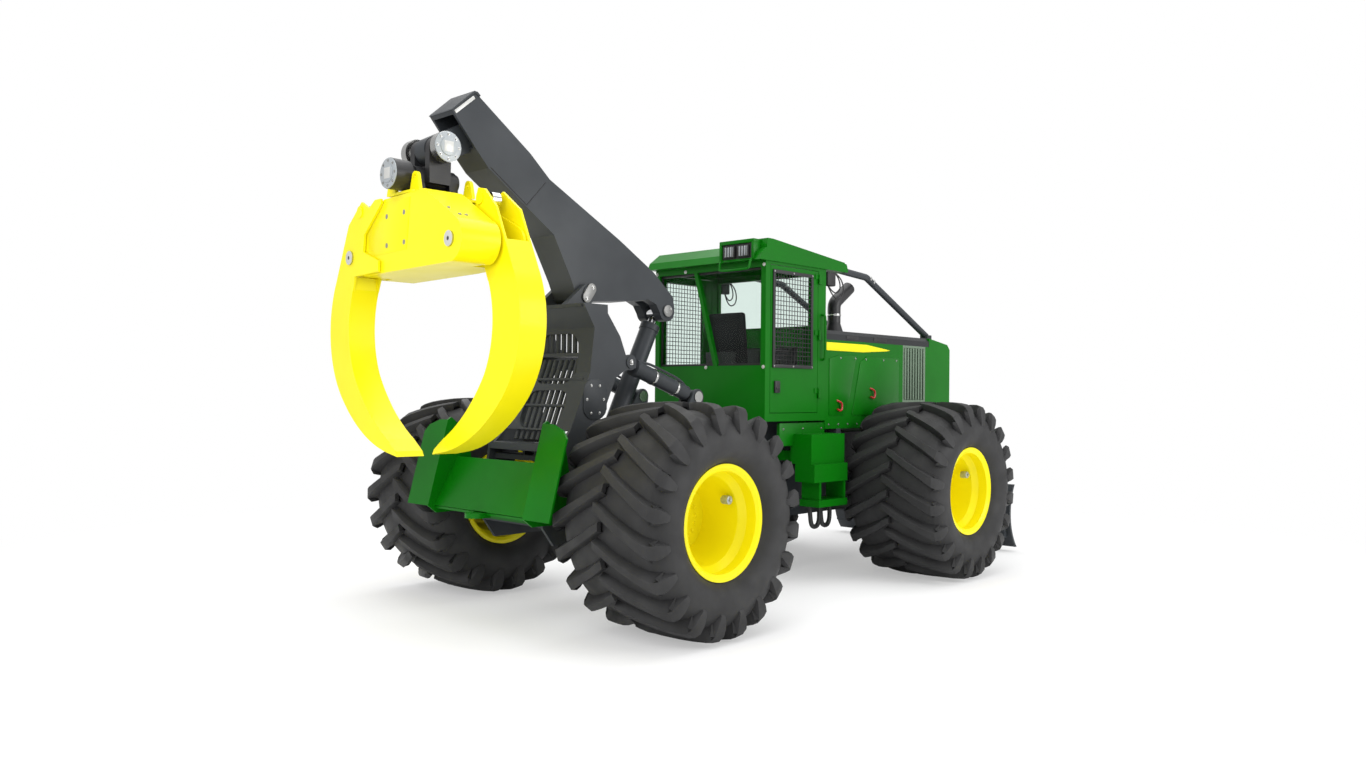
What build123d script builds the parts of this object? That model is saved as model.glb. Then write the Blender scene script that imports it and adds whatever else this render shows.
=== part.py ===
"""Grapple skidder: an articulated four-wheel forestry tractor with a swinging arch, a boom and a grapple.

Lengths are in millimetres. +X points forward, +Y to the machine's left and +Z up. Stations along X are
counted from the rear axle while the pieces are drawn; save() then moves every piece so that the origin
lies on the ground below the middle of the machine.
"""
import os
from math import atan2, degrees, hypot

from build123d import *

# ---- driving dimensions -------------------------------------------------------------------------------
ORIGIN_X = 2155             # station of the machine's middle, ahead of the rear axle
WHEELBASE = 3890
HALF_TRACK = 1390           # wheel centre to the machine's middle plane
TYRE_RADIUS = 927
TYRE_WIDTH = 1118
PIVOT_X = 1945              # the steering joint between the two frames
RUN = 0.3                   # running clearance of pins and rods
GAP = 6                     # clearance between pieces that move past each other
EYE_GAP = 5                 # side gap between a cylinder's eye and each lug that holds it

# wheel
RIM_HALF = 470              # wheel centre to the outside of a rim flange
RIM_WALL = 14
FLANGE_RADIUS = 455
SEAT_RADIUS = 412           # bead seat, outside
WELL_RADIUS = 354           # drop centre, outside
DISC_RADIUS = 309           # narrow end of the dish, outside
DISC_INSET = 500            # outer flange plane to the disc's outer face
DISC_THICK = 24
TYRE_WALL = 55
HUB_RADIUS = 235

# frames
FRAME_HALF = 420            # middle plane to the outside of a frame plate
FRAME_PLATE = 32
FRAME_LOW = 640
FRAME_TOP = 1340
FRONT_END = 5440            # front of the front frame
FRONT_START = 2230          # rear end of the front frame's side plates
REAR_START = -620           # rear end of the rear frame's side plates
REAR_END = 1600             # front end of the rear frame's side plates
REAR_GAP = -REAR_START + RUN
WINCH = (640, 1050)
TRAY_HALF = 680
TRAY_WING = 985
HITCH_X = -985              # drawbar pin hole, in a tongue behind the tray's floor
HITCH_Z = 900
HITCH_RADIUS = 27
HITCH_THICK = 40
TIE_DOWN = (5310, 1400)     # tie-down hole in each plate of the front frame
TIE_RADIUS = 30
HINGE_RADIUS = 130
HINGE_PIN = 50
HINGE_LEVELS = (720, 1250)  # middle heights of the lower and upper hinge
HINGE_TONGUE = 80           # thickness of the rear frame's hinge plates
HINGE_FORK = 40             # thickness of each plate of the front frame's forks

STEER_WINDOW = (880, 1120)  # heights left open at the joint for the steering cylinders

# axles
AXLE_TUBE = 150
AXLE_CENTRE = 290
AXLE_BAY = 390              # half the gap left in the belly plate below the front axle

# cab
CAB_REAR = 1838
CAB_DOOR_REAR = 1912
CAB_DOOR_FRONT = 2700
CAB_FRONT = 2835
CAB_HALF = 758
CAB_BASE = 1649.7           # top of the front frame, where the floor plate rests
CAB_FLOOR = 1690
CAB_DOOR_LOW = 1730
CAB_DOOR_TOP = 3195
CAB_TOP = 3225
CAB_SILL = 2200
CAB_WALL = 45
ROOF_HALF = 775
DOOR_THICK = 40
DOOR_HINGE_X = 2706         # upright line of the hinge pins, just ahead of the leaf
DOOR_HINGE_OUT = 16         # that line to the cab's side
DOOR_HINGES = (1880, 2480, 3060)    # foot of each hinge
KNUCKLE = (13, 50)          # radius and height of a hinge knuckle
KNUCKLE_PIN = 6
DOOR_WINDOW_X = (1975, 2572)
DOOR_WINDOW_Z = (2210, 3118)
ROOF_BASE = 3225.3
SEAT_X = 2270
STEP_FRONT = 2900

# hood
HOOD_HALF = 745
HOOD_REAR = 2850
HOOD_FRONT = 5452
HOOD_LOW = 1560
HOOD_BRACKETS = (3060, 5000)    # stations of the outriggers that carry the hood
HOOD_BAND_LOW = 2496        # lower edge of the dark top cover
HOOD_TOP = 2600
HOOD_SHEET = 45
GRILLE_SLATS = 12
EXHAUST = (3420, -450)
RAIL_RADIUS = 38
GRILLE_X = (4372, 4872)
GRILLE_Z = (1865, 2470)

# arch
ARCH_PIVOT = (-450, 1200)
ARCH_PIN_RADIUS = 55
ARCH_BOSS = 100
ARCH_STEP = 40              # the arch's side plates stand this far outside the frame's
ARCH_HALF = FRAME_HALF + ARCH_STEP
ARCH_PLATE = 32
ARCH_TOP = 2680
BOOM_PIVOT = (30, 2795)
BOOM_PIN_RADIUS = 45
EAR_PLATE = 50
ARCH_FOOT_Y = ARCH_HALF + 8     # inner face of each frame lug that carries the arch
ARCH_CYLINDER_Y = 375
ARCH_CYLINDER_EYE = (318, 2188)
ARCH_CYLINDER_BASE = (1215, 1885)

# boom
BOOM_HALF = 160
BOOM_FRONT_PIN = (1078, 2707)
TIP_PIN = (-1452, 3818)
TIP_PIN_RADIUS = 45
TIP_EAR = 105
TIP_EAR_HALF = 70
BOOM_CYLINDER_BASE = (455, 1450)

# grapple, about the vertical line it turns on
GRAPPLE_X = -1444
GRAPPLE_YAW = -4.3          # turned a little clockwise at rest
SWING_PIN_Z = 3585          # pin along X, on which the grapple swings sideways
TONG_FACES = (-302, -73)     # rear and front face of the left tong, fore and aft
TONG_PIVOT = (797, 3015)    # distance from the middle, height
TONG_PIN_RADIUS = 40
TONG_EYE = (622, 3375)      # where the left tong's cylinder pushes
TONG_ANCHOR = (-450, 2950)  # the fixed end of that cylinder, in the head
TONG_PLATE = 20
HEAD_HALF = 276             # fore and aft, to the outside of the head's panels
HEAD_PANEL = 22
HEAD_TOP = 3432
HEAD_LOW = 2850
HEAD_BOSS = 165             # radius round each tong pin
HEAD_BOSS_IN = 45           # how far each boss reaches past the middle
SPINDLE_RADIUS = 90         # of the rotator
YOKE_REACH = 181            # fore and aft, from the rotator's axis
SNUBBER_RADIUS = 120

STEER_BASE = 1000           # station of the steering barrels' pins in the rear frame
STEER_EYE = 2245            # station of the steering rods' pins in the front frame
STEER_Y = 260
STEER_Z = 1000

# hydraulic cylinders: outer radius, rod radius, eye radius, eye width, pin radius
ARCH_CYLINDER = {"radius": 72, "rod": 38, "eye": 68, "width": 80, "pin": 38}
BOOM_CYLINDER = {"radius": 88, "rod": 45, "eye": 82, "width": 110, "pin": 45}
BLADE_CYLINDER = {"radius": 52, "rod": 28, "eye": 52, "width": 60, "pin": 28}
STEER_CYLINDER = {"radius": 48, "rod": 25, "eye": 48, "width": 56, "pin": 25}
TONG_CYLINDER = {"radius": 57, "rod": 34, "eye": 60, "width": 70, "pin": 34}

# blade
BLADE_PIN_RADIUS = 40
BLADE_ARM_WIDTH = 90
BLADE_HALF = 1300
BLADE_PIVOT = (4960, 760)
BLADE_ARM_Y = 530
BLADE_BACK = 5905
BLADE_LOW = 55
BLADE_TOP = 830
BLADE_CYLINDER_BASE = (5510, 1600)
BLADE_CYLINDER_EYE = (5810, 700)
BLADE_CYLINDER_Y = 330
# ---- end of dimensions --------------------------------------------------------------------------------

os.makedirs("parts", exist_ok=True)


def save(name, *solids):
    """Write one node. Several solids of one node are kept apart."""
    shape = solids[0] if len(solids) == 1 else Compound(children=list(solids))
    export_step(Pos(-ORIGIN_X, 0, 0) * shape, f"parts/{name}.step")


def polygon(*points):
    """A flat outline through the given corners."""
    return make_face(Polyline(*points, close=True))


def rounded(radius, *points):
    """The same with every corner rounded."""
    outline = polygon(*points)
    return fillet(outline.vertices(), radius)


def hull(*shapes):
    """The outline stretched round some flat shapes."""
    return make_hull([edge for shape in shapes for edge in shape.edges()])


def fore_aft(outline, y_low, y_high):
    """A plate that stands fore and aft: the outline is drawn in X and Z."""
    return Pos(0, y_high, 0) * (Plane.XZ * extrude(outline, y_high - y_low))


def across(outline, x_low, x_high):
    """A plate that stands across the machine: the outline is drawn in Y and Z."""
    return Pos(x_low, 0, 0) * (Plane.YZ * extrude(outline, x_high - x_low))


def level(outline, z_low, z_high):
    """A plate that lies flat: the outline is drawn in X and Y."""
    return Pos(0, 0, z_low) * extrude(outline, z_high - z_low)


def block(x, y, z):
    """A box given by its low and high values along each axis."""
    size = (x[1] - x[0], y[1] - y[0], z[1] - z[0])
    return Pos((x[0] + x[1]) / 2, (y[0] + y[1]) / 2, (z[0] + z[1]) / 2) * Box(*size)


def bar_y(x, z, radius, y_low, y_high):
    """A round bar along Y."""
    return Pos(x, (y_low + y_high) / 2, z) * Rot(X=90) * Cylinder(radius, y_high - y_low)


def bar_x(y, z, radius, x_low, x_high):
    """A round bar along X."""
    return Pos((x_low + x_high) / 2, y, z) * Rot(Y=90) * Cylinder(radius, x_high - x_low)


def bar_z(x, y, radius, z_low, z_high):
    """A round bar along Z."""
    return Pos(x, y, (z_low + z_high) / 2) * Cylinder(radius, z_high - z_low)


def turned(points):
    """A solid of revolution about the local X axis, from an outline in (along, radius)."""
    return revolve(polygon(*points), Axis.X)


def welded(*pieces):
    """The pieces as solids of their own that meet face to face: each gives way to the ones before it."""
    plates = [pieces[0]]
    for piece in pieces[1:]:
        plates.append(piece - plates)
    return plates


def both_sides(shape):
    """A shape and its mirror image on the other side of the machine."""
    return [shape, mirror(shape, Plane.XZ)]


def between(start, end, y):
    """The place of a piece drawn along local +X so that it runs from start to end, both (x, z)."""
    angle = degrees(atan2(end[1] - start[1], end[0] - start[0]))
    return Pos(start[0], y, start[1]) * Rot(Y=-angle)


def clevis(outline, y, eye_width, plate):
    """Two plates with a running gap on either side of an eye at y."""
    inner = eye_width / 2 + EYE_GAP
    near = fore_aft(outline, y + inner, y + inner + plate)
    far = fore_aft(outline, y - inner - plate, y - inner)
    return [near, far]


def barrel(length, radius, rod_radius, eye_radius, eye_width, pin_radius):
    """A hydraulic barrel along +X with its base eye round the origin and an open rod gland at its end."""
    bore = radius - 14
    neck = eye_radius * 1.5
    shank = eye_width / 2 - 2
    tube = turned([(eye_radius * 0.8, 0), (eye_radius * 0.8, shank), (neck, shank), (neck + 10, radius),
                   (length - 60, radius), (length - 60, radius + 7), (length, radius + 7),
                   (length, rod_radius + RUN),
                   (length - 60, rod_radius + RUN), (length - 60, bore), (neck + 20, bore),
                   (neck + 20, 0)])
    eye = Rot(X=90) * Cylinder(eye_radius, eye_width)
    hole = Rot(X=90) * Cylinder(pin_radius + RUN, eye_width + 2)
    return tube + eye - hole


def rod(length, start, radius, rod_radius, eye_radius, eye_width, pin_radius=0):
    """The rod of such a barrel: its piston starts at start, and its eye is centred at length."""
    bore = radius - 14
    body = turned([(start, 0), (start, bore - RUN), (start + 60, bore - RUN), (start + 60, rod_radius),
                   (length - eye_radius * 0.8, rod_radius), (length - eye_radius * 0.8, 0)])
    eye = Pos(length, 0, 0) * Rot(X=90) * Cylinder(eye_radius, eye_width)
    solid = body + eye
    if pin_radius:
        solid -= Pos(length, 0, 0) * Rot(X=90) * Cylinder(pin_radius + RUN, eye_width + 2)
    return solid


# ---- kinds of pin ---------------------------------------------------------------------------------------
def capped_pin(x, z, radius, y_low, y_high):
    """A pin along Y through lugs that reach from y_low to y_high, with a keeper disc at each end."""
    pin = bar_y(x, z, radius, y_low - 10, y_high + 10)
    pin += bar_y(x, z, radius + 16, y_high + RUN, y_high + 10)
    return pin + bar_y(x, z, radius + 16, y_low - 10, y_low - RUN)


def stub(x, z, radius, y_in, y_out):
    """A short pin in one lug, flush with its inner face and with a keeper disc outside."""
    side = 1 if y_out > y_in else -1
    pin = bar_y(x, z, radius, *sorted((y_in, y_out + side * 10)))
    return pin + bar_y(x, z, radius + 16, *sorted((y_out + side * RUN, y_out + side * 10)))


def stubs(x, z, y, data, plate):
    """The stubs in both lugs of a clevis round a rod's eye at y."""
    inner = data["width"] / 2 + EYE_GAP
    return [stub(x, z, data["pin"], y + inner, y + inner + plate),
            stub(x, z, data["pin"], y - inner, y - inner - plate)]


def upright_pin(x, y, radius, z_low, z_high):
    """A pin along Z with a keeper disc on top and below."""
    pin = bar_z(x, y, radius, z_low - 10, z_high + 10)
    pin += bar_z(x, y, radius + 12, z_high + RUN, z_high + 10)
    return pin + bar_z(x, y, radius + 12, z_low - 10, z_low - RUN)


# ---- wheels: a wide flotation tyre on a deep-dished rim ------------------------------------------------
def tyre():
    """Carcass and crown as one ring, hollow, with its beads on the rim's seats."""
    half = TYRE_WIDTH / 2
    bead = RIM_HALF - 12
    with BuildSketch() as section:
        with BuildLine():
            crown = ThreePointArc((-480, 880), (0, TYRE_RADIUS), (480, 880))
            right = ThreePointArc(crown @ 1, (half, 690), (bead, FLANGE_RADIUS + 14))
            left = ThreePointArc(crown @ 0, (-half, 690), (-bead, FLANGE_RADIUS + 14))
            foot_right = Polyline(right @ 1, (bead, SEAT_RADIUS + RUN), (bead - 70, SEAT_RADIUS + RUN),
                                  (bead - 40, FLANGE_RADIUS + 30))
            foot_left = Polyline(left @ 1, (-bead, SEAT_RADIUS + RUN), (-bead + 70, SEAT_RADIUS + RUN),
                                 (-bead + 40, FLANGE_RADIUS + 30))
            inner_right = ThreePointArc(foot_right @ 1, (half - TYRE_WALL, 690), (430, 880 - TYRE_WALL))
            inner_left = ThreePointArc(foot_left @ 1, (-half + TYRE_WALL, 690), (-430, 880 - TYRE_WALL))
            ThreePointArc(inner_left @ 1, (0, TYRE_RADIUS - TYRE_WALL - 20), inner_right @ 1)
        make_face()
    return Rot(Z=90) * revolve(section.sketch, Axis.X)


def rim():
    """Dished rim with its disc: x runs outwards from the wheel's middle plane."""
    disc = RIM_HALF - DISC_INSET
    outside = [(RIM_HALF, FLANGE_RADIUS), (RIM_HALF - 12, FLANGE_RADIUS), (RIM_HALF - 12, SEAT_RADIUS),
               (RIM_HALF - 120, SEAT_RADIUS), (RIM_HALF - 175, WELL_RADIUS + 12),
               (RIM_HALF - 240, WELL_RADIUS), (disc, DISC_RADIUS), (disc - DISC_THICK, DISC_RADIUS),
               (-RIM_HALF + 240, WELL_RADIUS),
               (-RIM_HALF + 175, WELL_RADIUS + 12), (-RIM_HALF + 120, SEAT_RADIUS),
               (-RIM_HALF + 12, SEAT_RADIUS), (-RIM_HALF + 12, FLANGE_RADIUS), (-RIM_HALF, FLANGE_RADIUS)]
    inside = [(-RIM_HALF, FLANGE_RADIUS - 30), (-RIM_HALF + 20, SEAT_RADIUS - RIM_WALL),
              (-RIM_HALF + 115, SEAT_RADIUS - RIM_WALL), (-RIM_HALF + 170, WELL_RADIUS - RIM_WALL + 12),
              (-RIM_HALF + 240, WELL_RADIUS - RIM_WALL), (disc - DISC_THICK, DISC_RADIUS - RIM_WALL),
              (disc - DISC_THICK, 0), (disc, 0), (disc, DISC_RADIUS - RIM_WALL),
              (RIM_HALF - 240, WELL_RADIUS - RIM_WALL), (RIM_HALF - 170, WELL_RADIUS - RIM_WALL + 12),
              (RIM_HALF - 115, SEAT_RADIUS - RIM_WALL), (RIM_HALF - 20, SEAT_RADIUS - RIM_WALL),
              (RIM_HALF, FLANGE_RADIUS - 30)]
    return Rot(Z=90) * turned(outside + inside)


# name, station, side
WHEELS = [("front_left", WHEELBASE, 1), ("front_right", WHEELBASE, -1), ("rear_left", 0, 1),
          ("rear_right", 0, -1)]
for wheel_name, station, side in WHEELS:
    place = Pos(station, side * HALF_TRACK, TYRE_RADIUS) * Rot(Z=0 if side > 0 else 180)
    save(f"{wheel_name}_tyre", place * tyre())
    save(f"{wheel_name}_rim", place * rim())


# ---- axles ---------------------------------------------------------------------------------------------
def axle(station):
    """Rigid axle: a drive housing in the middle, tapered tubes and a bolted hub at each end."""
    hub_face = HALF_TRACK + RIM_HALF - DISC_INSET - DISC_THICK
    half = [(0, AXLE_CENTRE), (130, AXLE_CENTRE), (330, AXLE_TUBE + 25), (620, AXLE_TUBE),
            (hub_face - 330, AXLE_TUBE + 10), (hub_face - 300, HUB_RADIUS), (hub_face, HUB_RADIUS)]
    outline = [(-x, r) for x, r in reversed(half[1:])] + half[1:]
    housing = Rot(Z=90) * turned([(-hub_face, 0)] + outline + [(hub_face, 0)])
    pads = []
    for y in (-1, 1):
        middle = y * (FRAME_HALF - FRAME_PLATE / 2)
        pads.append(block((-190, 190), (middle - 60, middle + 60), (-AXLE_TUBE - 40, AXLE_TUBE + 40)))
    return Pos(station, 0, TYRE_RADIUS) * (housing + pads)


save("front_axle", axle(WHEELBASE))
save("rear_axle", axle(0))


# ---- frames --------------------------------------------------------------------------------------------
def hinge_plate(x_wide, level_z, thick, half_width):
    """A plate that tapers from the frame to a round end about the steering pin."""
    outline = hull(Pos(PIVOT_X, 0) * Circle(HINGE_RADIUS), Pos(x_wide, 0) * Rectangle(2, 2 * half_width))
    outline -= Pos(PIVOT_X, 0) * Circle(HINGE_PIN + RUN)
    return level(outline, level_z - thick / 2, level_z + thick / 2)


def steering_lugs(station, side, offset):
    """Two level plates inside a frame plate that hold one end of a steering cylinder."""
    lug = hull(Pos(station, side * STEER_Y) * Circle(60),
               Pos(station + offset, side * (FRAME_HALF - FRAME_PLATE - 38)) * Rectangle(150, 80))
    lug -= Pos(station, side * STEER_Y) * Circle(STEER_CYLINDER["pin"] + RUN)
    gap = STEER_CYLINDER["width"] / 2 + EYE_GAP
    return [level(lug, STEER_Z + gap, STEER_Z + gap + 24), level(lug, STEER_Z - gap - 24, STEER_Z - gap)]


def front_frame():
    """Two deep side plates, a belly, a nose, a bulkhead and the forks of the steering joint, all plates."""
    inner = FRAME_HALF - FRAME_PLATE
    side = polygon((FRONT_START, FRAME_LOW), (4550, FRAME_LOW), (4750, 560), (FRONT_END - 120, 560),
                   (FRONT_END, 700), (FRONT_END, 1500), (3000, 1500), (2800, CAB_BASE),
                   (FRONT_START, CAB_BASE))
    side -= Pos(*TIE_DOWN) * Circle(TIE_RADIUS)
    side -= Pos(WHEELBASE, TYRE_RADIUS) * Rectangle(2 * 190, 2 * (AXLE_TUBE + 40))
    plates = both_sides(fore_aft(side, inner, FRAME_HALF))
    plates += [block((FRONT_START, WHEELBASE - AXLE_BAY), (-inner, inner), (FRAME_LOW, FRAME_LOW + 20)),
               block((WHEELBASE + AXLE_BAY, FRONT_END - 60), (-inner, inner), (FRAME_LOW, FRAME_LOW + 20)),
               block((FRONT_END - 60, FRONT_END - 20), (-inner, inner), (600, 1690))]
    # the bulkhead is open between its two halves, where the steering cylinders pass
    for low, high in ((FRAME_LOW, STEER_WINDOW[0]), (STEER_WINDOW[1], CAB_BASE)):
        plates.append(block((FRONT_START, FRONT_START + 40), (-inner, inner), (low, high)))
    # outriggers under the hood's side panels
    for x in HOOD_BRACKETS:
        plates += both_sides(block((x, x + 80), (FRAME_HALF, HOOD_HALF), (HOOD_LOW - 120, HOOD_LOW - RUN)))
    for z in HINGE_LEVELS:
        for sign in (-1, 1):
            offset = sign * (HINGE_TONGUE / 2 + HINGE_FORK / 2 + 4)
            plates.append(hinge_plate(FRONT_START + 20, z + offset, HINGE_FORK, inner))
    for y in (-1, 1):
        plates += steering_lugs(STEER_EYE, y, 85)
        # a stand beside the frame and its clevis for the blade's arm
        stand_out = BLADE_ARM_Y + BLADE_ARM_WIDTH / 2 + EYE_GAP + 30
        plates.append(block((BLADE_PIVOT[0] - 220, BLADE_PIVOT[0] - 180),
                            sorted((y * FRAME_HALF, y * stand_out)), (600, 800)))
        lug = hull(Pos(*BLADE_PIVOT) * Circle(95), Pos(BLADE_PIVOT[0] - 160, 700) * Rectangle(120, 200))
        lug -= Pos(*BLADE_PIVOT) * Circle(BLADE_PIN_RADIUS + RUN)
        plates += clevis(lug, y * BLADE_ARM_Y, BLADE_ARM_WIDTH, 30)
        # a clevis on the nose for the blade's cylinder
        lug = hull(Pos(*BLADE_CYLINDER_BASE) * Circle(65),
                   Pos(FRONT_END - 10, BLADE_CYLINDER_BASE[1] - 60) * Rectangle(20, 120))
        lug -= Pos(*BLADE_CYLINDER_BASE) * Circle(BLADE_CYLINDER["pin"] + RUN)
        plates += clevis(lug, y * BLADE_CYLINDER_Y, BLADE_CYLINDER["width"], 24)
    return welded(*plates)


save("front_frame", *front_frame())


def rear_frame():
    """Two side plates, belly and deck plates, the tongues of the steering joint and the arch's brackets."""
    side = polygon((REAR_START, 800), (REAR_START + 120, FRAME_LOW), (REAR_END, FRAME_LOW),
                   (REAR_END, STEER_WINDOW[0]), (1230, STEER_WINDOW[0] + 20), (1230, STEER_WINDOW[1] - 20),
                   (REAR_END, STEER_WINDOW[1]), (REAR_END, FRAME_TOP), (300, FRAME_TOP), (200, 1250),
                   (REAR_START, 1250))
    axle_hole = Pos(0, TYRE_RADIUS) * Rectangle(2 * 190, 2 * (AXLE_TUBE + 40))
    side += Pos(*ARCH_PIVOT) * Circle(ARCH_BOSS)
    side -= Pos(*ARCH_PIVOT) * Circle(ARCH_PIN_RADIUS + RUN)
    sides = both_sides(fore_aft(side - axle_hole, FRAME_HALF - FRAME_PLATE, FRAME_HALF))
    inner = FRAME_HALF - FRAME_PLATE
    plates = [block((400, REAR_END), (-inner, inner), (FRAME_LOW, FRAME_LOW + 20)),
              block((950, REAR_END), (-inner, inner), (FRAME_TOP - 20, FRAME_TOP)),
              block((REAR_END - 40, REAR_END), (-inner, inner), (FRAME_LOW, STEER_WINDOW[0])),
              block((REAR_END - 40, REAR_END), (-inner, inner), (STEER_WINDOW[1], FRAME_TOP)),
              block((REAR_START, REAR_START + 30), (-inner, inner), (800, 1250))]
    solid = sides[0] + sides[1] + plates
    for z in HINGE_LEVELS:
        solid += hinge_plate(REAR_END - 20, z, HINGE_TONGUE, inner)
    tower = hull(Pos(*ARCH_CYLINDER_BASE) * Circle(75), Pos(1000, FRAME_TOP - 60) * Rectangle(420, 120))
    tower -= Pos(*ARCH_CYLINDER_BASE) * Circle(ARCH_CYLINDER["pin"] + RUN)
    foot = hull(Pos(*ARCH_PIVOT) * Circle(ARCH_BOSS), Pos(ARCH_PIVOT[0] + 60, 1050) * Rectangle(300, 120))
    foot -= Pos(*ARCH_PIVOT) * Circle(ARCH_PIN_RADIUS + RUN)
    shelf = block((ARCH_PIVOT[0] - 120, ARCH_PIVOT[0] + 240), (FRAME_HALF, ARCH_FOOT_Y + 32), (990, 1020))
    for y in (-1, 1):
        solid += clevis(tower, y * ARCH_CYLINDER_Y, ARCH_CYLINDER["width"], 30)
        solid += fore_aft(foot, *sorted((y * ARCH_FOOT_Y, y * (ARCH_FOOT_Y + 32))))
        solid += steering_lugs(STEER_BASE, y, -40)
    return solid + both_sides(shelf)


save("rear_frame", rear_frame())


# ---- arch: a welded frame that leans fore and aft and carries the boom ----------------------------------
def arch_side():
    """Outline of a side plate, from the pivot to the boom ears."""
    edge = [(-575, 1165), (-540, 1420), (-372, 1590), (-157, 2090), (-111, 2476), (-238, ARCH_TOP),
            (38, ARCH_TOP), (41, 2606), (188, 2414), (266, 2237), (385, 2220), (385, 2140), (240, 2110),
            (139, 2044), (8, 1755), (-210, 1420), (-325, 1165)]
    outline = polygon(*edge) + Pos(*ARCH_PIVOT) * Circle(125) + Pos(*ARCH_CYLINDER_EYE) * Circle(70)
    outline -= Pos(*ARCH_PIVOT) * Circle(ARCH_PIN_RADIUS + RUN)
    return outline - Pos(*ARCH_CYLINDER_EYE) * Circle(ARCH_CYLINDER["pin"] + RUN)


def arch():
    inner = ARCH_HALF - ARCH_PLATE
    sides = both_sides(fore_aft(arch_side(), inner, ARCH_HALF))
    outer = [(-372, 1590), (-157, 2090), (-111, 2476), (-238, ARCH_TOP)]
    rear = polygon(*outer, *[(x + 27, z) for x, z in reversed(outer)])
    solid = sides[0] + sides[1] + fore_aft(rear, -inner, inner)
    solid += block((-236, 38), (-inner, inner), (ARCH_TOP - 30, ARCH_TOP))
    solid += block((-560, -330), (-inner, inner), (1420, 1480))
    # openings in the rear face, either side of a crossbar
    upper = Pos(0, 2212) * RectangleRounded(560, 440, 150)
    lower = Pos(0, 1768) * RectangleRounded(560, 330, 120)
    solid -= across(upper + lower, -480, 60)
    # ears for the boom's pin, one pair inside the other
    ear = hull(Pos(*BOOM_PIVOT) * Circle(85), Pos(-100, ARCH_TOP - 5) * Rectangle(270, 10))
    ear -= Pos(*BOOM_PIVOT) * Circle(BOOM_PIN_RADIUS + RUN)
    solid += clevis(ear, 0, 2 * BOOM_HALF, EAR_PLATE)
    # fork for the boom cylinder's foot, on a crossmember
    fork = hull(Pos(*BOOM_CYLINDER_BASE) * Circle(95), Pos(-350, 1400) * Rectangle(180, 130))
    fork -= Pos(*BOOM_CYLINDER_BASE) * Circle(BOOM_CYLINDER["pin"] + RUN)
    solid += clevis(fork, 0, BOOM_CYLINDER["width"], 32)
    solid += block((-480, -250), (-inner, inner), (ARCH_PIVOT[1] + 130, ARCH_PIVOT[1] + 175))
    # inner lugs for the arch cylinders' rods
    lug = hull(Pos(*ARCH_CYLINDER_EYE) * Circle(70), Pos(60, 2230) * Rectangle(200, 160))
    lug -= Pos(*ARCH_CYLINDER_EYE) * Circle(ARCH_CYLINDER["pin"] + RUN)
    at = ARCH_CYLINDER_Y - ARCH_CYLINDER["width"] / 2 - EYE_GAP
    solid += both_sides(fore_aft(lug, at - 25, at))
    solid += block((-125, 120), (-inner, inner), (2230, 2262))
    return solid


save("arch", arch())


# ---- boom: a cranked box with a fork at its front and a socket at its tip --------------------------------
def boom():
    outline = polygon((-1150, 4325), (-586, 3928), (-376, 3743), (454, 3312), (894, 3058), (1152, 2849),
                      (1180, 2740), (1150, 2640), (1010, 2640), (930, 2760), (830, 2800), (639, 2772),
                      (484, 2761), (150, 2735), (30, 2710), (-50, 2740), (-120, 2900), (-325, 3276),
                      (-649, 3491), (-1012, 3736), (-1145, 3881), (-1365, 4140))
    ends = Pos(*BOOM_PIVOT) * Circle(88) + Pos(*BOOM_FRONT_PIN) * Circle(100)
    holes = Pos(*BOOM_PIVOT) * Circle(BOOM_PIN_RADIUS + RUN)
    holes += Pos(*BOOM_FRONT_PIN) * Circle(BOOM_CYLINDER["pin"] + RUN)
    box = fore_aft(outline + ends - holes, -BOOM_HALF, BOOM_HALF)
    # the front is a fork round the boom cylinder's rod
    slot = BOOM_CYLINDER["width"] / 2 + EYE_GAP
    box -= fore_aft(Pos(1080, 2660) * Rectangle(460, 520), -slot, slot)
    # the tip is open towards the crosshead, and an ear inside it carries the pin
    mouth = polygon((-1116, 3908), (-1180, 3840), (-1400, 4090), (-1339, 4110), (-1147, 4262), (-960, 4130))
    box -= fore_aft(mouth, -BOOM_HALF + 25, BOOM_HALF - 25)
    ear = hull(Pos(*TIP_PIN) * Circle(TIP_EAR), Pos(-1080, 4010) * Rectangle(160, 180))
    ear -= Pos(*TIP_PIN) * Circle(TIP_PIN_RADIUS + RUN)
    return box + fore_aft(ear, -TIP_EAR_HALF, TIP_EAR_HALF)


boom_solid = boom()
for side in (-1, 1):
    inner = side * (BOOM_CYLINDER["width"] / 2 + EYE_GAP)
    boom_solid += stub(*BOOM_FRONT_PIN, BOOM_CYLINDER["pin"], inner, side * BOOM_HALF)
save("boom", boom_solid)


# ---- crosshead: two pins at right angles, each with a friction snubber, and the rotator's yoke below ----
SWING_X = (TIP_PIN[0] - 105, TIP_PIN[0] + 105)      # the crosshead's barrel about the swing pin


def crosshead():
    """A fork round the boom's ear on top of a barrel that lies fore and aft."""
    plate = hull(Pos(*TIP_PIN) * Circle(100), Pos(TIP_PIN[0], SWING_PIN_Z) * Rectangle(190, 90))
    plate -= Pos(*TIP_PIN) * Circle(TIP_PIN_RADIUS + RUN)
    fork = [fore_aft(plate, y, y + 62) for y in (TIP_EAR_HALF + EYE_GAP, -TIP_EAR_HALF - EYE_GAP - 62)]
    casting = bar_x(0, SWING_PIN_Z, 85, *SWING_X) + fork
    casting += block((SWING_X[0] + 15, SWING_X[1] - 15), (-137, 137), (SWING_PIN_Z - 40, SWING_PIN_Z + 60))
    return casting - bar_x(0, SWING_PIN_Z, TIP_PIN_RADIUS + RUN, SWING_X[0] - 1, SWING_X[1] + 1)


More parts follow.
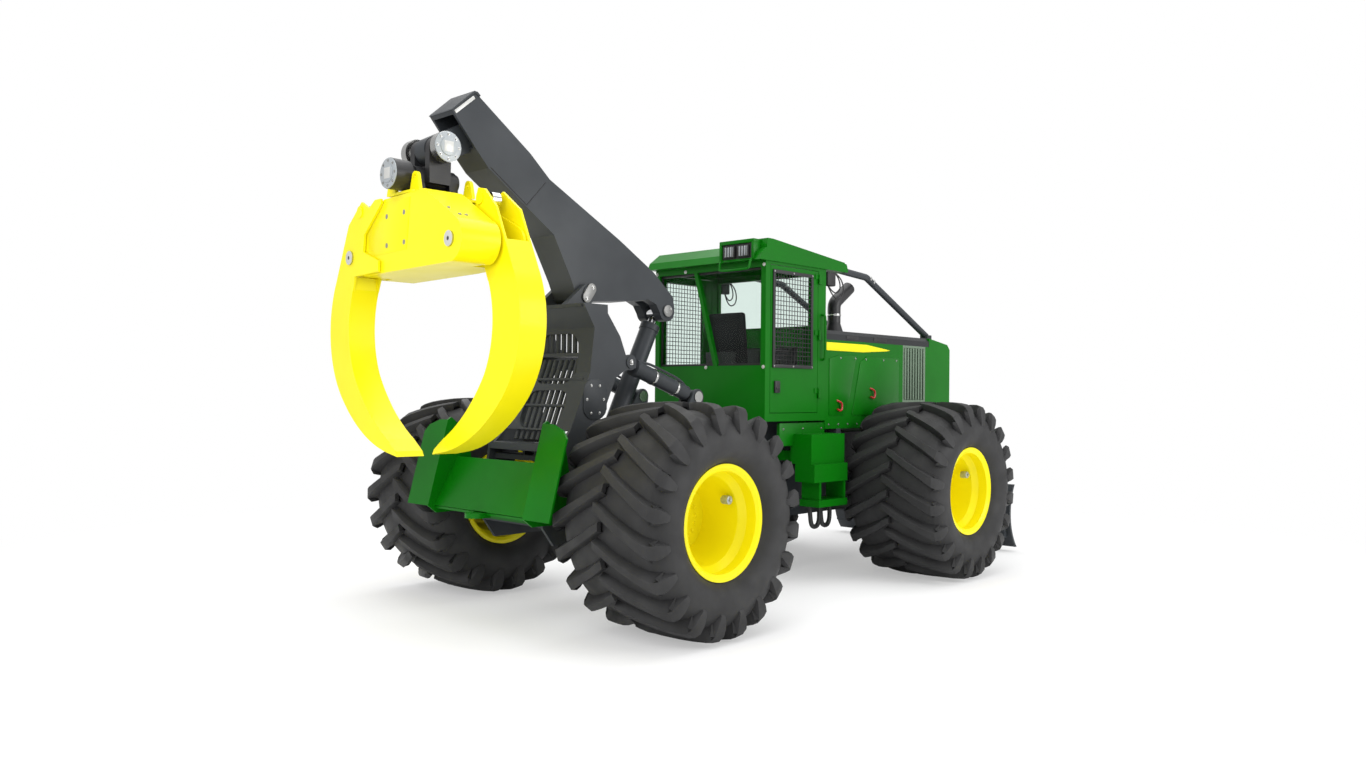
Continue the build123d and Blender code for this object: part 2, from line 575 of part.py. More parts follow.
def tip_pin():
    """The pin in the boom's ear, with a ring-shaped snubber housing at each end."""
    pin = bar_y(*TIP_PIN, TIP_PIN_RADIUS, -176, 176)
    for y in (-1, 1):
        pin += bar_y(*TIP_PIN, 78, *sorted((y * 138, y * 176)))
        pin += bar_y(*TIP_PIN, SNUBBER_RADIUS, *sorted((y * 175, y * 240)))
    return pin


def swing_pin():
    """The pin that the yoke swings on, held in its legs, with a snubber housing behind."""
    rear = GRAPPLE_X - YOKE_REACH
    pin = bar_x(0, SWING_PIN_Z, TIP_PIN_RADIUS, rear - 50, GRAPPLE_X + YOKE_REACH + 30)
    pin += bar_x(0, SWING_PIN_Z, 78, rear - 50, rear - 1)
    pin += bar_x(0, SWING_PIN_Z, SNUBBER_RADIUS, rear - 195, rear - 50)
    return pin + bar_x(0, SWING_PIN_Z, 78, GRAPPLE_X + YOKE_REACH + 1, GRAPPLE_X + YOKE_REACH + 30)


def swivel_yoke():
    """Two legs before and behind the crosshead's barrel, a flange and the rotator's spindle."""
    leg = hull(Pos(0, SWING_PIN_Z) * Circle(92), Pos(0, 3465) * Rectangle(210, 30))
    leg -= Pos(0, SWING_PIN_Z) * Circle(TIP_PIN_RADIUS + RUN)
    legs = [across(leg, GRAPPLE_X - YOKE_REACH, SWING_X[0] - GAP),
            across(leg, SWING_X[1] + GAP, GRAPPLE_X + YOKE_REACH)]
    flange = level(Pos(GRAPPLE_X, 0) * RectangleRounded(2 * YOKE_REACH, 320, 60),
                   HEAD_TOP + GAP, HEAD_TOP + 46)
    spindle = bar_z(GRAPPLE_X, 0, SPINDLE_RADIUS, HEAD_TOP - 80, HEAD_TOP + 10)
    keeper = bar_z(GRAPPLE_X, 0, SPINDLE_RADIUS + 28, HEAD_TOP - 80, HEAD_TOP - HEAD_PANEL - GAP - 6)
    return flange + legs + spindle + keeper


def rotator_guard():
    """A yellow plate on the yoke's flange with four upright ears."""
    plate = Pos(GRAPPLE_X, 0) * RectangleRounded(2 * YOKE_REACH + 190, 380, 60)
    plate -= Pos(GRAPPLE_X, 0) * RectangleRounded(2 * (YOKE_REACH + RUN), 320 + 2 * RUN, 60 + RUN)
    ring = level(plate, HEAD_TOP + GAP, HEAD_TOP + 27)
    ear = hull(Pos(0, 3560) * Circle(38), Pos(0, HEAD_TOP + 22) * Rectangle(130, 10))
    ear -= Pos(0, 3560) * Circle(16)
    for y in (-1, 1):
        for x in (-1, 1):
            ring += across(Pos(y * 168) * ear, *sorted((GRAPPLE_X + x * 225, GRAPPLE_X + x * 255)))
    return ring


save("crosshead", crosshead())
save("tip_pin", tip_pin())
save("swivel_yoke", swivel_yoke(), swing_pin())
save("rotator_guard", rotator_guard())


# ---- grapple: drawn about the rotator's axis with X forward, the left tong behind the right one ---------
def in_grapple(shape):
    return Pos(GRAPPLE_X, 0, 0) * Rot(Z=GRAPPLE_YAW) * shape


def half_turn(shape):
    """The same piece on the opposite corner of the grapple."""
    return Rot(Z=180) * shape


TONG_MIDDLE = (TONG_FACES[0] + TONG_FACES[1]) / 2
LEFT_PIVOT = Pos(*TONG_PIVOT)
RIGHT_PIVOT = Pos(-TONG_PIVOT[0], TONG_PIVOT[1])


def head_half():
    """The plates of the head's rear half: a panel, a boss, a top, a slope, a bottom and two lugs."""
    inside = -HEAD_HALF + HEAD_PANEL
    outline = hull(RIGHT_PIVOT * Circle(HEAD_BOSS), LEFT_PIVOT * Circle(HEAD_BOSS - 15),
                   Pos(-75, (HEAD_TOP + HEAD_LOW) / 2) * Rectangle(650, HEAD_TOP - HEAD_LOW))
    round_boss = RIGHT_PIVOT * Circle(HEAD_BOSS + RUN)
    slope = polygon((-380, HEAD_TOP), (-400, HEAD_TOP), (-908, 3137), (-895, 3115), (-380, HEAD_TOP - 28))
    bottom = block((inside, 0), (-TONG_PIVOT[0], 640), (HEAD_LOW, HEAD_LOW + HEAD_PANEL))
    # the lugs hold the fixed end of the left tong's cylinder, and the boss the right tong's pin
    lug = hull(Pos(*TONG_ANCHOR) * Circle(70),
               Pos(TONG_ANCHOR[0], HEAD_LOW + HEAD_PANEL + 5) * Rectangle(180, 10))
    gap = TONG_CYLINDER["width"] / 2 + EYE_GAP
    return [across(outline, -HEAD_HALF, inside),
            across(RIGHT_PIVOT * Circle(HEAD_BOSS), inside, HEAD_BOSS_IN),
            block((inside, 0), (-380, 250), (HEAD_TOP - HEAD_PANEL, HEAD_TOP)),
            across(slope - round_boss, inside, HEAD_BOSS_IN),
            bottom - across(round_boss, inside, 0),
            across(lug, inside, TONG_MIDDLE - gap),
            across(lug, TONG_MIDDLE + gap, TONG_MIDDLE + gap + 25)]


def grapple_head():
    """Two halves made of the same plates, turned about the rotator, with a web between them."""
    plates = head_half() + [half_turn(plate) for plate in head_half()]
    web = hull(RIGHT_PIVOT * Circle(HEAD_BOSS - 30), LEFT_PIVOT * Circle(HEAD_BOSS - 30),
               Pos(0, (HEAD_TOP + HEAD_LOW) / 2) * Rectangle(500, HEAD_TOP - HEAD_LOW - 2 * HEAD_PANEL))
    web -= RIGHT_PIVOT * Circle(HEAD_BOSS + RUN) + LEFT_PIVOT * Circle(HEAD_BOSS + RUN)
    web -= Pos(0, HEAD_TOP) * Rectangle(300, 240)
    plates.append(across(web, -12, 12) - plates)
    anchor = bar_x(*TONG_ANCHOR, TONG_CYLINDER["pin"] + RUN, -HEAD_HALF + HEAD_PANEL, -60)
    bores = [anchor, half_turn(anchor), bar_z(0, 0, SPINDLE_RADIUS + RUN, HEAD_TOP - 40, HEAD_TOP + 1)]
    for y in (-TONG_PIVOT[0], TONG_PIVOT[0]):
        bores.append(bar_x(y, TONG_PIVOT[1], TONG_PIN_RADIUS + RUN, -HEAD_HALF - 1, HEAD_HALF + 1))
    return [plate - bores for plate in plates]


def tong_outline():
    """Outline of the left tong's arm, from its root to the point."""
    with BuildSketch() as sketch:
        with BuildLine():
            outer = Polyline((700, 3240), (840, 3290), (1073, 2829))
            belly = ThreePointArc(outer @ 1, (1180, 2420), (950, 1870))
            sweep = ThreePointArc(belly @ 1, (590, 1602), (127, 1440))
            tip = Polyline(sweep @ 1, (-70, 1410), (-42, 1452), (100, 1540))
            inner = ThreePointArc(tip @ 1, (475, 1790), (700, 2040))
            upper = ThreePointArc(inner @ 1, (812, 2400), (745, 2750))
            Polyline(upper @ 1, (738, 2880), (700, 3240))
        make_face()
    return sketch.sketch


def tong():
    """A box-section arm between two ear plates that straddle the end of the head."""
    rear, front = TONG_FACES
    pivot = LEFT_PIVOT * Circle(TONG_PIN_RADIUS + RUN)
    root = LEFT_PIVOT * Circle(HEAD_BOSS + GAP + 2) + Pos(700, 3300) * Rectangle(500, 560)
    arm = across(tong_outline() - root, rear, front)
    # the outer ear plate reaches over the head's panel, with a hollowed inner edge
    outer = polygon((249, 3400), (262, 3438), (359, 3441), (467, 3387), (600, 3455), (840, 3290),
                    (1073, 2829), (1120, 2700), (745, 2740), (715, 2855), (288, 2862), (288, 2947),
                    (562, 3044), (547, 3181))
    inner = polygon((560, 3120), (560, 3400), (590, 3460), (680, 3440), (840, 3290), (1073, 2829),
                    (1120, 2700), (745, 2740), (640, 2960))
    arm += across(outer - pivot, rear, rear + TONG_PLATE) + across(inner - pivot, front - TONG_PLATE, front)
    # the ends of the cylinder's pin, welded in both plates
    pin = TONG_CYLINDER["pin"] + 14
    return arm + bar_x(*TONG_EYE, pin, rear - 10, rear) + bar_x(*TONG_EYE, pin, front, front + 10)


def tong_pins():
    """Both tong pins and the two pins that anchor the cylinders, in the head."""
    pins = []
    for turn in (0, 180):
        pivot = bar_x(*TONG_PIVOT, TONG_PIN_RADIUS, TONG_FACES[0] - 12, HEAD_HALF + 12)
        pivot += bar_x(*TONG_PIVOT, TONG_PIN_RADIUS + 16, TONG_FACES[0] - 12, TONG_FACES[0] - 1)
        pivot += bar_x(*TONG_PIVOT, TONG_PIN_RADIUS + 16, HEAD_HALF + 1, HEAD_HALF + 12)
        reach = TONG_CYLINDER["width"] / 2 + EYE_GAP + 25
        anchor = bar_x(*TONG_ANCHOR, TONG_CYLINDER["pin"], -HEAD_HALF + HEAD_PANEL + RUN, TONG_MIDDLE + reach)
        pins += [Rot(Z=turn) * pivot, Rot(Z=turn) * anchor]
    return pins


def tong_cylinder():
    """The left tong's barrel and rod."""
    place = Pos(TONG_MIDDLE, *TONG_ANCHOR) * Rot(Z=90)
    rise, run_out = TONG_EYE[1] - TONG_ANCHOR[1], TONG_EYE[0] - TONG_ANCHOR[0]
    length = hypot(rise, run_out)
    place *= Rot(Y=-degrees(atan2(rise, run_out)))
    data = TONG_CYLINDER
    body = barrel(780, data["radius"], data["rod"], data["eye"], data["width"], data["pin"])
    ram = rod(length, 640, data["radius"], data["rod"], data["eye"], data["width"])
    return place * body, place * ram


cylinder_barrel, cylinder_rod = tong_cylinder()
save("grapple_head", *[in_grapple(plate) for plate in grapple_head()])
save("tong_pins", *[in_grapple(pin) for pin in tong_pins()])
save("left_tong", in_grapple(tong()))
save("right_tong", in_grapple(half_turn(tong())))
save("left_grapple_barrel", in_grapple(cylinder_barrel))
save("right_grapple_barrel", in_grapple(half_turn(cylinder_barrel)))
save("left_grapple_rod", in_grapple(cylinder_rod))
save("right_grapple_rod", in_grapple(half_turn(cylinder_rod)))


# ---- hydraulic cylinders of the arch, boom, blade and steering ------------------------------------------
def ram_pair(start, end, y, data, barrel_length, piston, fixed_rod_eye=False):
    """A barrel from start and its rod to end, both (x, z)."""
    length = hypot(end[0] - start[0], end[1] - start[1])
    place = between(start, end, y)
    body = barrel(barrel_length, data["radius"], data["rod"], data["eye"], data["width"], data["pin"])
    ram = rod(length, piston, data["radius"], data["rod"], data["eye"], data["width"],
              data["pin"] if fixed_rod_eye else 0)
    return place * body, place * ram


# name of the barrels, name of the rods, base, rod eye, distance from the middle, sizes, barrel, piston
RAMS = [("arch_cylinder_barrels", "arch_cylinder_rods", ARCH_CYLINDER_BASE, ARCH_CYLINDER_EYE,
         ARCH_CYLINDER_Y, ARCH_CYLINDER, 830, 125),
        ("blade_cylinder_barrels", "blade_cylinder_rods", BLADE_CYLINDER_BASE, BLADE_CYLINDER_EYE,
         BLADE_CYLINDER_Y, BLADE_CYLINDER, 595, 395)]
for barrels, rods, base, eye, y, data, barrel_length, piston in RAMS:
    body, ram = ram_pair(base, eye, y, data, barrel_length, piston)
    save(barrels, *both_sides(body))
    save(rods, *both_sides(ram))

body, ram = ram_pair(BOOM_CYLINDER_BASE, BOOM_FRONT_PIN, 0, BOOM_CYLINDER, 1250, 160)
save("boom_cylinder_barrel", body)
save("boom_cylinder_rod", ram)

for name, side in (("left", 1), ("right", -1)):
    place = Pos(STEER_BASE, side * STEER_Y, STEER_Z) * Rot(X=90)
    length = STEER_EYE - STEER_BASE
    data = STEER_CYLINDER
    body = barrel(860, data["radius"], data["rod"], data["eye"], data["width"], data["pin"])
    ram = rod(length, 400, data["radius"], data["rod"], data["eye"], data["width"])
    save(f"{name}_steering_barrel", place * body)
    save(f"{name}_steering_rod", place * ram)


# ---- pins, on the bodies that hold them -----------------------------------------------------------------
frame_pins = []
for side in (-1, 1):
    reach = ARCH_CYLINDER["width"] / 2 + EYE_GAP + 30
    frame_pins.append(capped_pin(*ARCH_CYLINDER_BASE, ARCH_CYLINDER["pin"], side * ARCH_CYLINDER_Y - reach,
                                 side * ARCH_CYLINDER_Y + reach))
    frame_pins.append(capped_pin(*ARCH_PIVOT, ARCH_PIN_RADIUS, *sorted((side * (FRAME_HALF - FRAME_PLATE),
                                                                      side * (ARCH_FOOT_Y + 32)))))
    steer_reach = STEER_CYLINDER["width"] / 2 + EYE_GAP + 24
    frame_pins.append(upright_pin(STEER_BASE, side * STEER_Y, STEER_CYLINDER["pin"], STEER_Z - steer_reach,
                                  STEER_Z + steer_reach))
save("rear_frame_pins", *frame_pins)

hinge_reach = HINGE_TONGUE / 2 + 4 + HINGE_FORK
front_pins = [upright_pin(PIVOT_X, 0, HINGE_PIN, z - hinge_reach, z + hinge_reach) for z in HINGE_LEVELS]
for side in (-1, 1):
    gap = STEER_CYLINDER["width"] / 2 + EYE_GAP
    for foot in (STEER_Z + gap, STEER_Z - gap - 32):
        front_pins.append(bar_z(STEER_EYE, side * STEER_Y, STEER_CYLINDER["pin"], foot, foot + 32))
    reach = BLADE_ARM_WIDTH / 2 + EYE_GAP + 30
    front_pins.append(capped_pin(*BLADE_PIVOT, BLADE_PIN_RADIUS, side * BLADE_ARM_Y - reach,
                                 side * BLADE_ARM_Y + reach))
    reach = BLADE_CYLINDER["width"] / 2 + EYE_GAP + 24
    front_pins.append(capped_pin(*BLADE_CYLINDER_BASE, BLADE_CYLINDER["pin"], side * BLADE_CYLINDER_Y - reach,
                                 side * BLADE_CYLINDER_Y + reach))
save("front_frame_pins", *front_pins)

boom_reach = BOOM_HALF + EYE_GAP + EAR_PLATE
arch_pins = [capped_pin(*BOOM_PIVOT, BOOM_PIN_RADIUS, -boom_reach, boom_reach)]
foot_reach = BOOM_CYLINDER["width"] / 2 + EYE_GAP + 32
arch_pins.append(capped_pin(*BOOM_CYLINDER_BASE, BOOM_CYLINDER["pin"], -foot_reach, foot_reach))
for side in (-1, 1):
    inner = side * (ARCH_CYLINDER_Y - ARCH_CYLINDER["width"] / 2 - EYE_GAP)
    arch_pins.append(stub(*ARCH_CYLINDER_EYE, ARCH_CYLINDER["pin"], inner, inner - side * 25))
    arch_pins.append(stub(*ARCH_CYLINDER_EYE, ARCH_CYLINDER["pin"],
                          side * (ARCH_HALF - ARCH_PLATE), side * ARCH_HALF))
save("arch_pins", *arch_pins)


# ---- winch, between the plates of the rear frame ---------------------------------------------------------
def winch():
    """A drum with two flanges on a shaft that spans the frame."""
    drum = bar_y(*WINCH, 140, -300, 300)
    for y in (-300, 0, 300):
        drum += bar_y(*WINCH, 215, y - 12, y + 12)
    return drum + bar_y(*WINCH, 60, -FRAME_HALF + FRAME_PLATE + RUN, FRAME_HALF - FRAME_PLATE - RUN)


save("winch", winch())


# ---- butt plate: the tray behind the rear frame that takes the butts of the logs --------------------------
def butt_plate():
    cheek = polygon((-1018, 926), (-824, 1667), (-790, 1690), (-620, 1560), (-560, 1250), (-560, 900),
                    (-620, 860), (-930, 860))
    solid = both_sides(fore_aft(cheek, TRAY_HALF - 20, TRAY_HALF))
    back = polygon((-700, 1340), (-720, 1340), (-952, 930), (-930, 918))
    solid = solid[0] + solid[1] + fore_aft(back, -TRAY_HALF + 19, TRAY_HALF - 19)
    solid += block((-940, -REAR_GAP), (-TRAY_HALF + 19, TRAY_HALF - 19), (900, 920))
    solid += block((-645, -REAR_GAP), (-FRAME_HALF, FRAME_HALF), (820, 1250))
    wing = polygon((-1018, 926), (-824, 1667), (-809, 1663), (-1003, 922))
    corner = polygon((TRAY_HALF - 1, 880), (TRAY_WING, 880), (TRAY_WING, 1560), (TRAY_WING - 60, 1620),
                     (TRAY_HALF - 1, 1700))
    wings = fore_aft(wing, TRAY_HALF - 1, TRAY_WING) & across(corner, -1100, -700)
    tongue = Pos((HITCH_X - 900) / 2, 0) * Rectangle(-HITCH_X - 900, 180) + Pos(HITCH_X, 0) * Circle(90)
    tongue -= Pos(HITCH_X, 0) * Circle(HITCH_RADIUS)
    return solid + both_sides(wings) + level(tongue, HITCH_Z - HITCH_THICK / 2, HITCH_Z + HITCH_THICK / 2)


save("butt_plate", butt_plate())


# ---- blade: push arms, a curved mouldboard and two cylinders ----------------------------------------------
def dozer_blade():
    with BuildSketch() as section:
        with BuildLine():
            front = ThreePointArc((6150, BLADE_LOW), (5985, 440), (6085, BLADE_TOP))
            top = Polyline(front @ 1, (6050, BLADE_TOP))
            back = ThreePointArc(top @ 1, (5950, 440), (6112, BLADE_LOW))
            Line(back @ 1, front @ 0)
        make_face()
    blade = fore_aft(section.sketch, -BLADE_HALF, BLADE_HALF)
    for x, z in ((5965, 640), (5975, 250)):
        blade += block((x - 45, x + 45), (-BLADE_HALF + 60, BLADE_HALF - 60), (z - 70, z + 70))
    arm = hull(Pos(*BLADE_PIVOT) * Circle(75), Pos(BLADE_BACK + 25, 380) * Rectangle(50, 300))
    arm -= Pos(*BLADE_PIVOT) * Circle(BLADE_PIN_RADIUS + RUN)
    lug = hull(Pos(*BLADE_CYLINDER_EYE) * Circle(55), Pos(BLADE_BACK + 25, 660) * Rectangle(40, 160))
    lug -= Pos(*BLADE_CYLINDER_EYE) * Circle(BLADE_CYLINDER["pin"] + RUN)
    for side in (-1, 1):
        middle = side * BLADE_ARM_Y
        blade += fore_aft(arm, middle - BLADE_ARM_WIDTH / 2, middle + BLADE_ARM_WIDTH / 2)
        blade += clevis(lug, side * BLADE_CYLINDER_Y, BLADE_CYLINDER["width"], 24)
        blade += stubs(*BLADE_CYLINDER_EYE, side * BLADE_CYLINDER_Y, BLADE_CYLINDER, 24)
    return blade + bar_y(5620, 480, 60, -BLADE_ARM_Y, BLADE_ARM_Y)


save("dozer_blade", dozer_blade())


# ---- cab --------------------------------------------------------------------------------------------------
def cab_shell():
    """Floor, corner posts, sills and headers as one welded frame, open at both doors."""
    shell = block((CAB_REAR, CAB_FRONT), (-CAB_HALF, CAB_HALF), (CAB_BASE, CAB_TOP))
    wall = CAB_WALL
    shell -= block((CAB_REAR + wall, CAB_FRONT - wall), (-CAB_HALF + wall, CAB_HALF - wall),
                   (CAB_FLOOR, CAB_TOP))
    door = block((CAB_DOOR_REAR, CAB_DOOR_FRONT), (-CAB_HALF - 1, CAB_HALF + 1), (CAB_DOOR_LOW, CAB_DOOR_TOP))
    shell -= door
    window = (-CAB_HALF + 60, CAB_HALF - 60)
    shell -= block((CAB_REAR - 1, CAB_REAR + wall + 1), window, (CAB_SILL, CAB_TOP - 60))
    shell -= block((CAB_FRONT - wall - 1, CAB_FRONT + 1), window, (2640, CAB_TOP - 60))
    # the slanted post between the two rear windows
    post = polygon((210, CAB_TOP - 30), (165, CAB_TOP - 30), (-135, CAB_SILL - 30), (-90, CAB_SILL - 30))
    shell += across(post, CAB_REAR, CAB_REAR + wall)
    for side in (-1, 1):
        for foot in DOOR_HINGES:
            shell += knuckle(side, foot, (DOOR_HINGE_X, DOOR_HINGE_X + 66))
            shell -= hinge_bore(side, foot, KNUCKLE_PIN + RUN)
    return shell


def cab_windows():
    """Panes held against the inner faces of the rear and front openings."""
    rear = CAB_REAR + CAB_WALL + RUN
    front = CAB_FRONT - CAB_WALL - RUN
    half = CAB_HALF - CAB_WALL - 2
    return [block((rear, rear + 6), (-half, half), (CAB_SILL - 30, CAB_TOP - 35)),
            block((front - 6, front), (-half, half), (2610, CAB_TOP - 35))]


def knuckle(side, foot, strap_x):
    """One knuckle round the door's hinge line, on a strap that spans strap_x."""
    radius, height = KNUCKLE
    strap = block(strap_x, (CAB_HALF, CAB_HALF + 8), (foot, foot + height))
    solid = bar_z(DOOR_HINGE_X, CAB_HALF + DOOR_HINGE_OUT, radius, foot, foot + height) + strap
    return solid if side > 0 else mirror(solid, Plane.XZ)


def hinge_bore(side, foot, radius):
    out = side * (CAB_HALF + DOOR_HINGE_OUT)
    return bar_z(DOOR_HINGE_X, out, radius, foot - 1, foot + 2 * KNUCKLE[1] + 5)


def door(side):
    """A door leaf with its window opening."""
    low, high = sorted((side * (CAB_HALF - DOOR_THICK), side * CAB_HALF))
    leaf = block((CAB_DOOR_REAR + GAP, CAB_DOOR_FRONT - GAP), (low, high),
                 (CAB_DOOR_LOW + GAP, CAB_DOOR_TOP - GAP))
    hole = block(DOOR_WINDOW_X, (low - 1, high + 1), DOOR_WINDOW_Z)
    rebate = block((DOOR_WINDOW_X[0] - 15, DOOR_WINDOW_X[1] + 15),
                   sorted((side * (CAB_HALF - DOOR_THICK) - side, side * (CAB_HALF - DOOR_THICK + 8))),
                   (DOOR_WINDOW_Z[0] - 15, DOOR_WINDOW_Z[1] + 15))
    leaf = leaf - hole - rebate
    # the upper knuckle of each hinge is the door's, and its pin hangs down into the lower one
    for foot in DOOR_HINGES:
        top = foot + KNUCKLE[1] + 1
        leaf += knuckle(side, top, (DOOR_HINGE_X - 66, CAB_DOOR_FRONT - 2))
        leaf += hinge_bore(side, foot, KNUCKLE_PIN)
    return leaf


def door_window(side):
    """The pane in the door's rebate."""
    inner = side * (CAB_HALF - DOOR_THICK)
    return block((DOOR_WINDOW_X[0] - 14, DOOR_WINDOW_X[1] + 14), sorted((inner, inner + side * 7.7)),
                 (DOOR_WINDOW_Z[0] - 14, DOOR_WINDOW_Z[1] + 14))


def cab_roof():
    """A crowned shell that overhangs the cab, with a lamp housing at its right rear corner."""
    side = polygon((1725, ROOF_BASE), (1760, 3300), (1905, 3405), (3185, 3312), (3212, 3245),
                   (3212, ROOF_BASE))
    outer = fore_aft(side, -ROOF_HALF, ROOF_HALF)
    housing = polygon((1830, 3380), (1845, 3442), (1930, 3442), (3150, 3325), (3150, 3250), (1830, 3250))
    outer += fore_aft(housing, -ROOF_HALF, -210)
    inside = block((CAB_REAR + 60, CAB_FRONT - 60), (-CAB_HALF + 60, CAB_HALF - 60), (ROOF_BASE - 1, 3280))
    return outer - inside


save("cab_windows", *cab_windows())
save("cab_roof", cab_roof())
save("cab_shell", cab_shell())
for name, side in (("left", 1), ("right", -1)):
    save(f"{name}_door", door(side))
    save(f"{name}_door_window", door_window(side))


# ---- inside the cab ---------------------------------------------------------------------------------------
def operator_seat():
    """A turning pedestal, a cushion, a reclined back and two armrests."""
    seat = bar_z(SEAT_X, 0, 150, CAB_FLOOR + RUN, 1930)
    seat += block((SEAT_X - 240, SEAT_X + 260), (-250, 250), (1920, 1970))
    return seat + block((SEAT_X - 260, SEAT_X - 200), (-180, 180), (1930, 2350))


def seat_cushions():
    cushion = block((SEAT_X - 190, SEAT_X + 270), (-240, 240), (1970.3, 2090))
    back = fore_aft(polygon((SEAT_X - 199.7, 2110), (SEAT_X - 80, 2110), (SEAT_X - 150, 2760),
                            (SEAT_X - 199.7, 2760)), -230, 230)
    top_edges = back.edges().filter_by(Axis.Y).sort_by(Axis.Z)[-2:]
    return fillet(cushion.edges().filter_by(Axis.Z), 40), fillet(top_edges, 20)


def cab_console():
    """Dashboard across the front of the cab, with pods beside the seat."""
    dash = fore_aft(polygon((2560, 2050), (2789, 2050), (2789, 2420), (2640, 2400)), -420, 420)
    dash += block((2680, 2789), (-180, 180), (CAB_FLOOR + RUN, 2060))
    return dash


save("operator_seat", operator_seat())
save("seat_cushions", *seat_cushions())
save("cab_console", cab_console())


# ---- hood, engine and what stands on them -----------------------------------------------------------------
hood_side = block((HOOD_REAR, GRILLE_X[0] - RUN), (HOOD_HALF - HOOD_SHEET, HOOD_HALF),
                  (HOOD_LOW, HOOD_BAND_LOW - RUN))
save("hood_sides", *both_sides(hood_side))


def side_grille():
    """A louvred panel: a frame with upright slats."""
    x_low, x_high = GRILLE_X
    panel = block((x_low, x_high), (HOOD_HALF - HOOD_SHEET, HOOD_HALF), (HOOD_LOW, HOOD_BAND_LOW - RUN))
    panel -= block((x_low + 30, x_high - 30), (HOOD_HALF - 30, HOOD_HALF + 1), GRILLE_Z)
    pitch = (x_high - x_low - 60) / GRILLE_SLATS
    for number in range(GRILLE_SLATS):
        x = x_low + 30 + (number + 0.5) * pitch
        panel += block((x - 9, x + 9), (HOOD_HALF - 31, HOOD_HALF - 4), (GRILLE_Z[0] - 1, GRILLE_Z[1] + 1))
    return panel


save("side_grilles", *both_sides(side_grille()))


def hood_top():
    """The dark cover over the engine."""
    cover = block((HOOD_REAR, 4950), (-HOOD_HALF, HOOD_HALF), (HOOD_BAND_LOW, HOOD_TOP))
    cover = chamfer(cover.edges().filter_by(Axis.X).sort_by(Axis.Z)[-2:], 40)
    return cover - block((HOOD_REAR + 20, 4930), (-HOOD_HALF + 60, HOOD_HALF - 60),
                         (HOOD_BAND_LOW - 1, HOOD_TOP - 20))


def front_guard():
    """The radiator's housing: side walls, a sloping top and a barred front."""
    x_low = GRILLE_X[1] + RUN
    side = polygon((x_low, HOOD_LOW), (HOOD_FRONT, HOOD_LOW), (HOOD_FRONT, 2480), (HOOD_FRONT - 60, 2540),
                   (4960, 2600), (4960, HOOD_BAND_LOW - RUN), (x_low, HOOD_BAND_LOW - RUN))
    shell = fore_aft(side, -HOOD_HALF, HOOD_HALF)
    shell -= block((x_low - 1, HOOD_FRONT - 40), (-HOOD_HALF + HOOD_SHEET, HOOD_HALF - HOOD_SHEET),
                   (HOOD_LOW - 1, 2470))
    for number in range(7):
        z = 1760 + number * 100
        shell -= block((HOOD_FRONT - 41, HOOD_FRONT + 1), (-560, 560), (z, z + 60))
    return shell - block((HOOD_FRONT - 41, HOOD_FRONT + 1), (-HOOD_HALF + 60, HOOD_HALF - 60),
                         (HOOD_LOW - 1, 1700))


def engine_block():
    """The engine as one plain block on four feet."""
    body = block((3050, 4550), (-330, 330), (1300, 2250))
    for x in (3150, 4350):
        body += block((x, x + 120), (-FRAME_HALF, FRAME_HALF), (1500 + RUN, 1560))
    return body


def exhaust_stack():
    """A flared foot, a straight pipe and an elbow."""
    foot = Pos(EXHAUST[0], EXHAUST[1], HOOD_TOP + RUN) * extrude(Circle(105), 120, taper=18)
    with BuildLine() as path:
        FilletPolyline((EXHAUST[0], EXHAUST[1], HOOD_TOP + 110), (EXHAUST[0], EXHAUST[1], 2930),
                       (EXHAUST[0] + 280, EXHAUST[1], 3120), radius=110)
    pipe = sweep(Plane((path.line @ 0), z_dir=path.line % 0) * Circle(72), path=path.line)
    return foot + pipe


def limb_risers():
    """Two rails from the roof's front down to the nose, and a cross rail."""
    with BuildLine() as path:
        FilletPolyline((3216, 600, 3278), (3820, 600, 3240), (5130, 600, 2640), radius=150)
    rail = sweep(Plane((path.line @ 0), z_dir=path.line % 0) * Circle(RAIL_RADIUS), path=path.line)
    foot = polygon((5080, 2583.7 + RUN), (5180, 2570 + RUN), (5180, 2650), (5080, 2650))
    return both_sides(rail + fore_aft(foot, 550, 650))


save("hood_top", hood_top())
save("front_guard", front_guard())
save("engine_block", engine_block())
save("exhaust_stack", exhaust_stack())
save("limb_risers", *limb_risers())


# ---- steps, rails and mirrors --------------------------------------------------------------------------
def cab_steps(side):
    """A box of steps below each door, on brackets from the frame."""
    parts = block((2330, STEP_FRONT), (700, 960), (1220, 1520))
    parts += block((2330, STEP_FRONT), (760, 1000), (1040, 1221))
    parts += block((2410, STEP_FRONT), (760, 1000), (790, 860)) + block((2430, 2460), (770, 990), (850, 1050))
    parts += block((STEP_FRONT - 50, STEP_FRONT - 20), (770, 990), (850, 1050))
    for x in (2420, 2800):
        parts += block((x, x + 60), (FRAME_HALF + RUN, 710), (1240, 1340))
    return parts if side > 0 else mirror(parts, Plane.XZ)


save("cab_steps", cab_steps(1), cab_steps(-1))
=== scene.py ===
"""Finish of a grapple skidder: paint, rubber, glass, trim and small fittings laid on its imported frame.

Metres, with X forward, Y to the machine's left and Z up. Stations along X are counted from the rear axle.
"""
from math import cos, pi, radians, sin

import bpy
from mathutils import Matrix, Vector


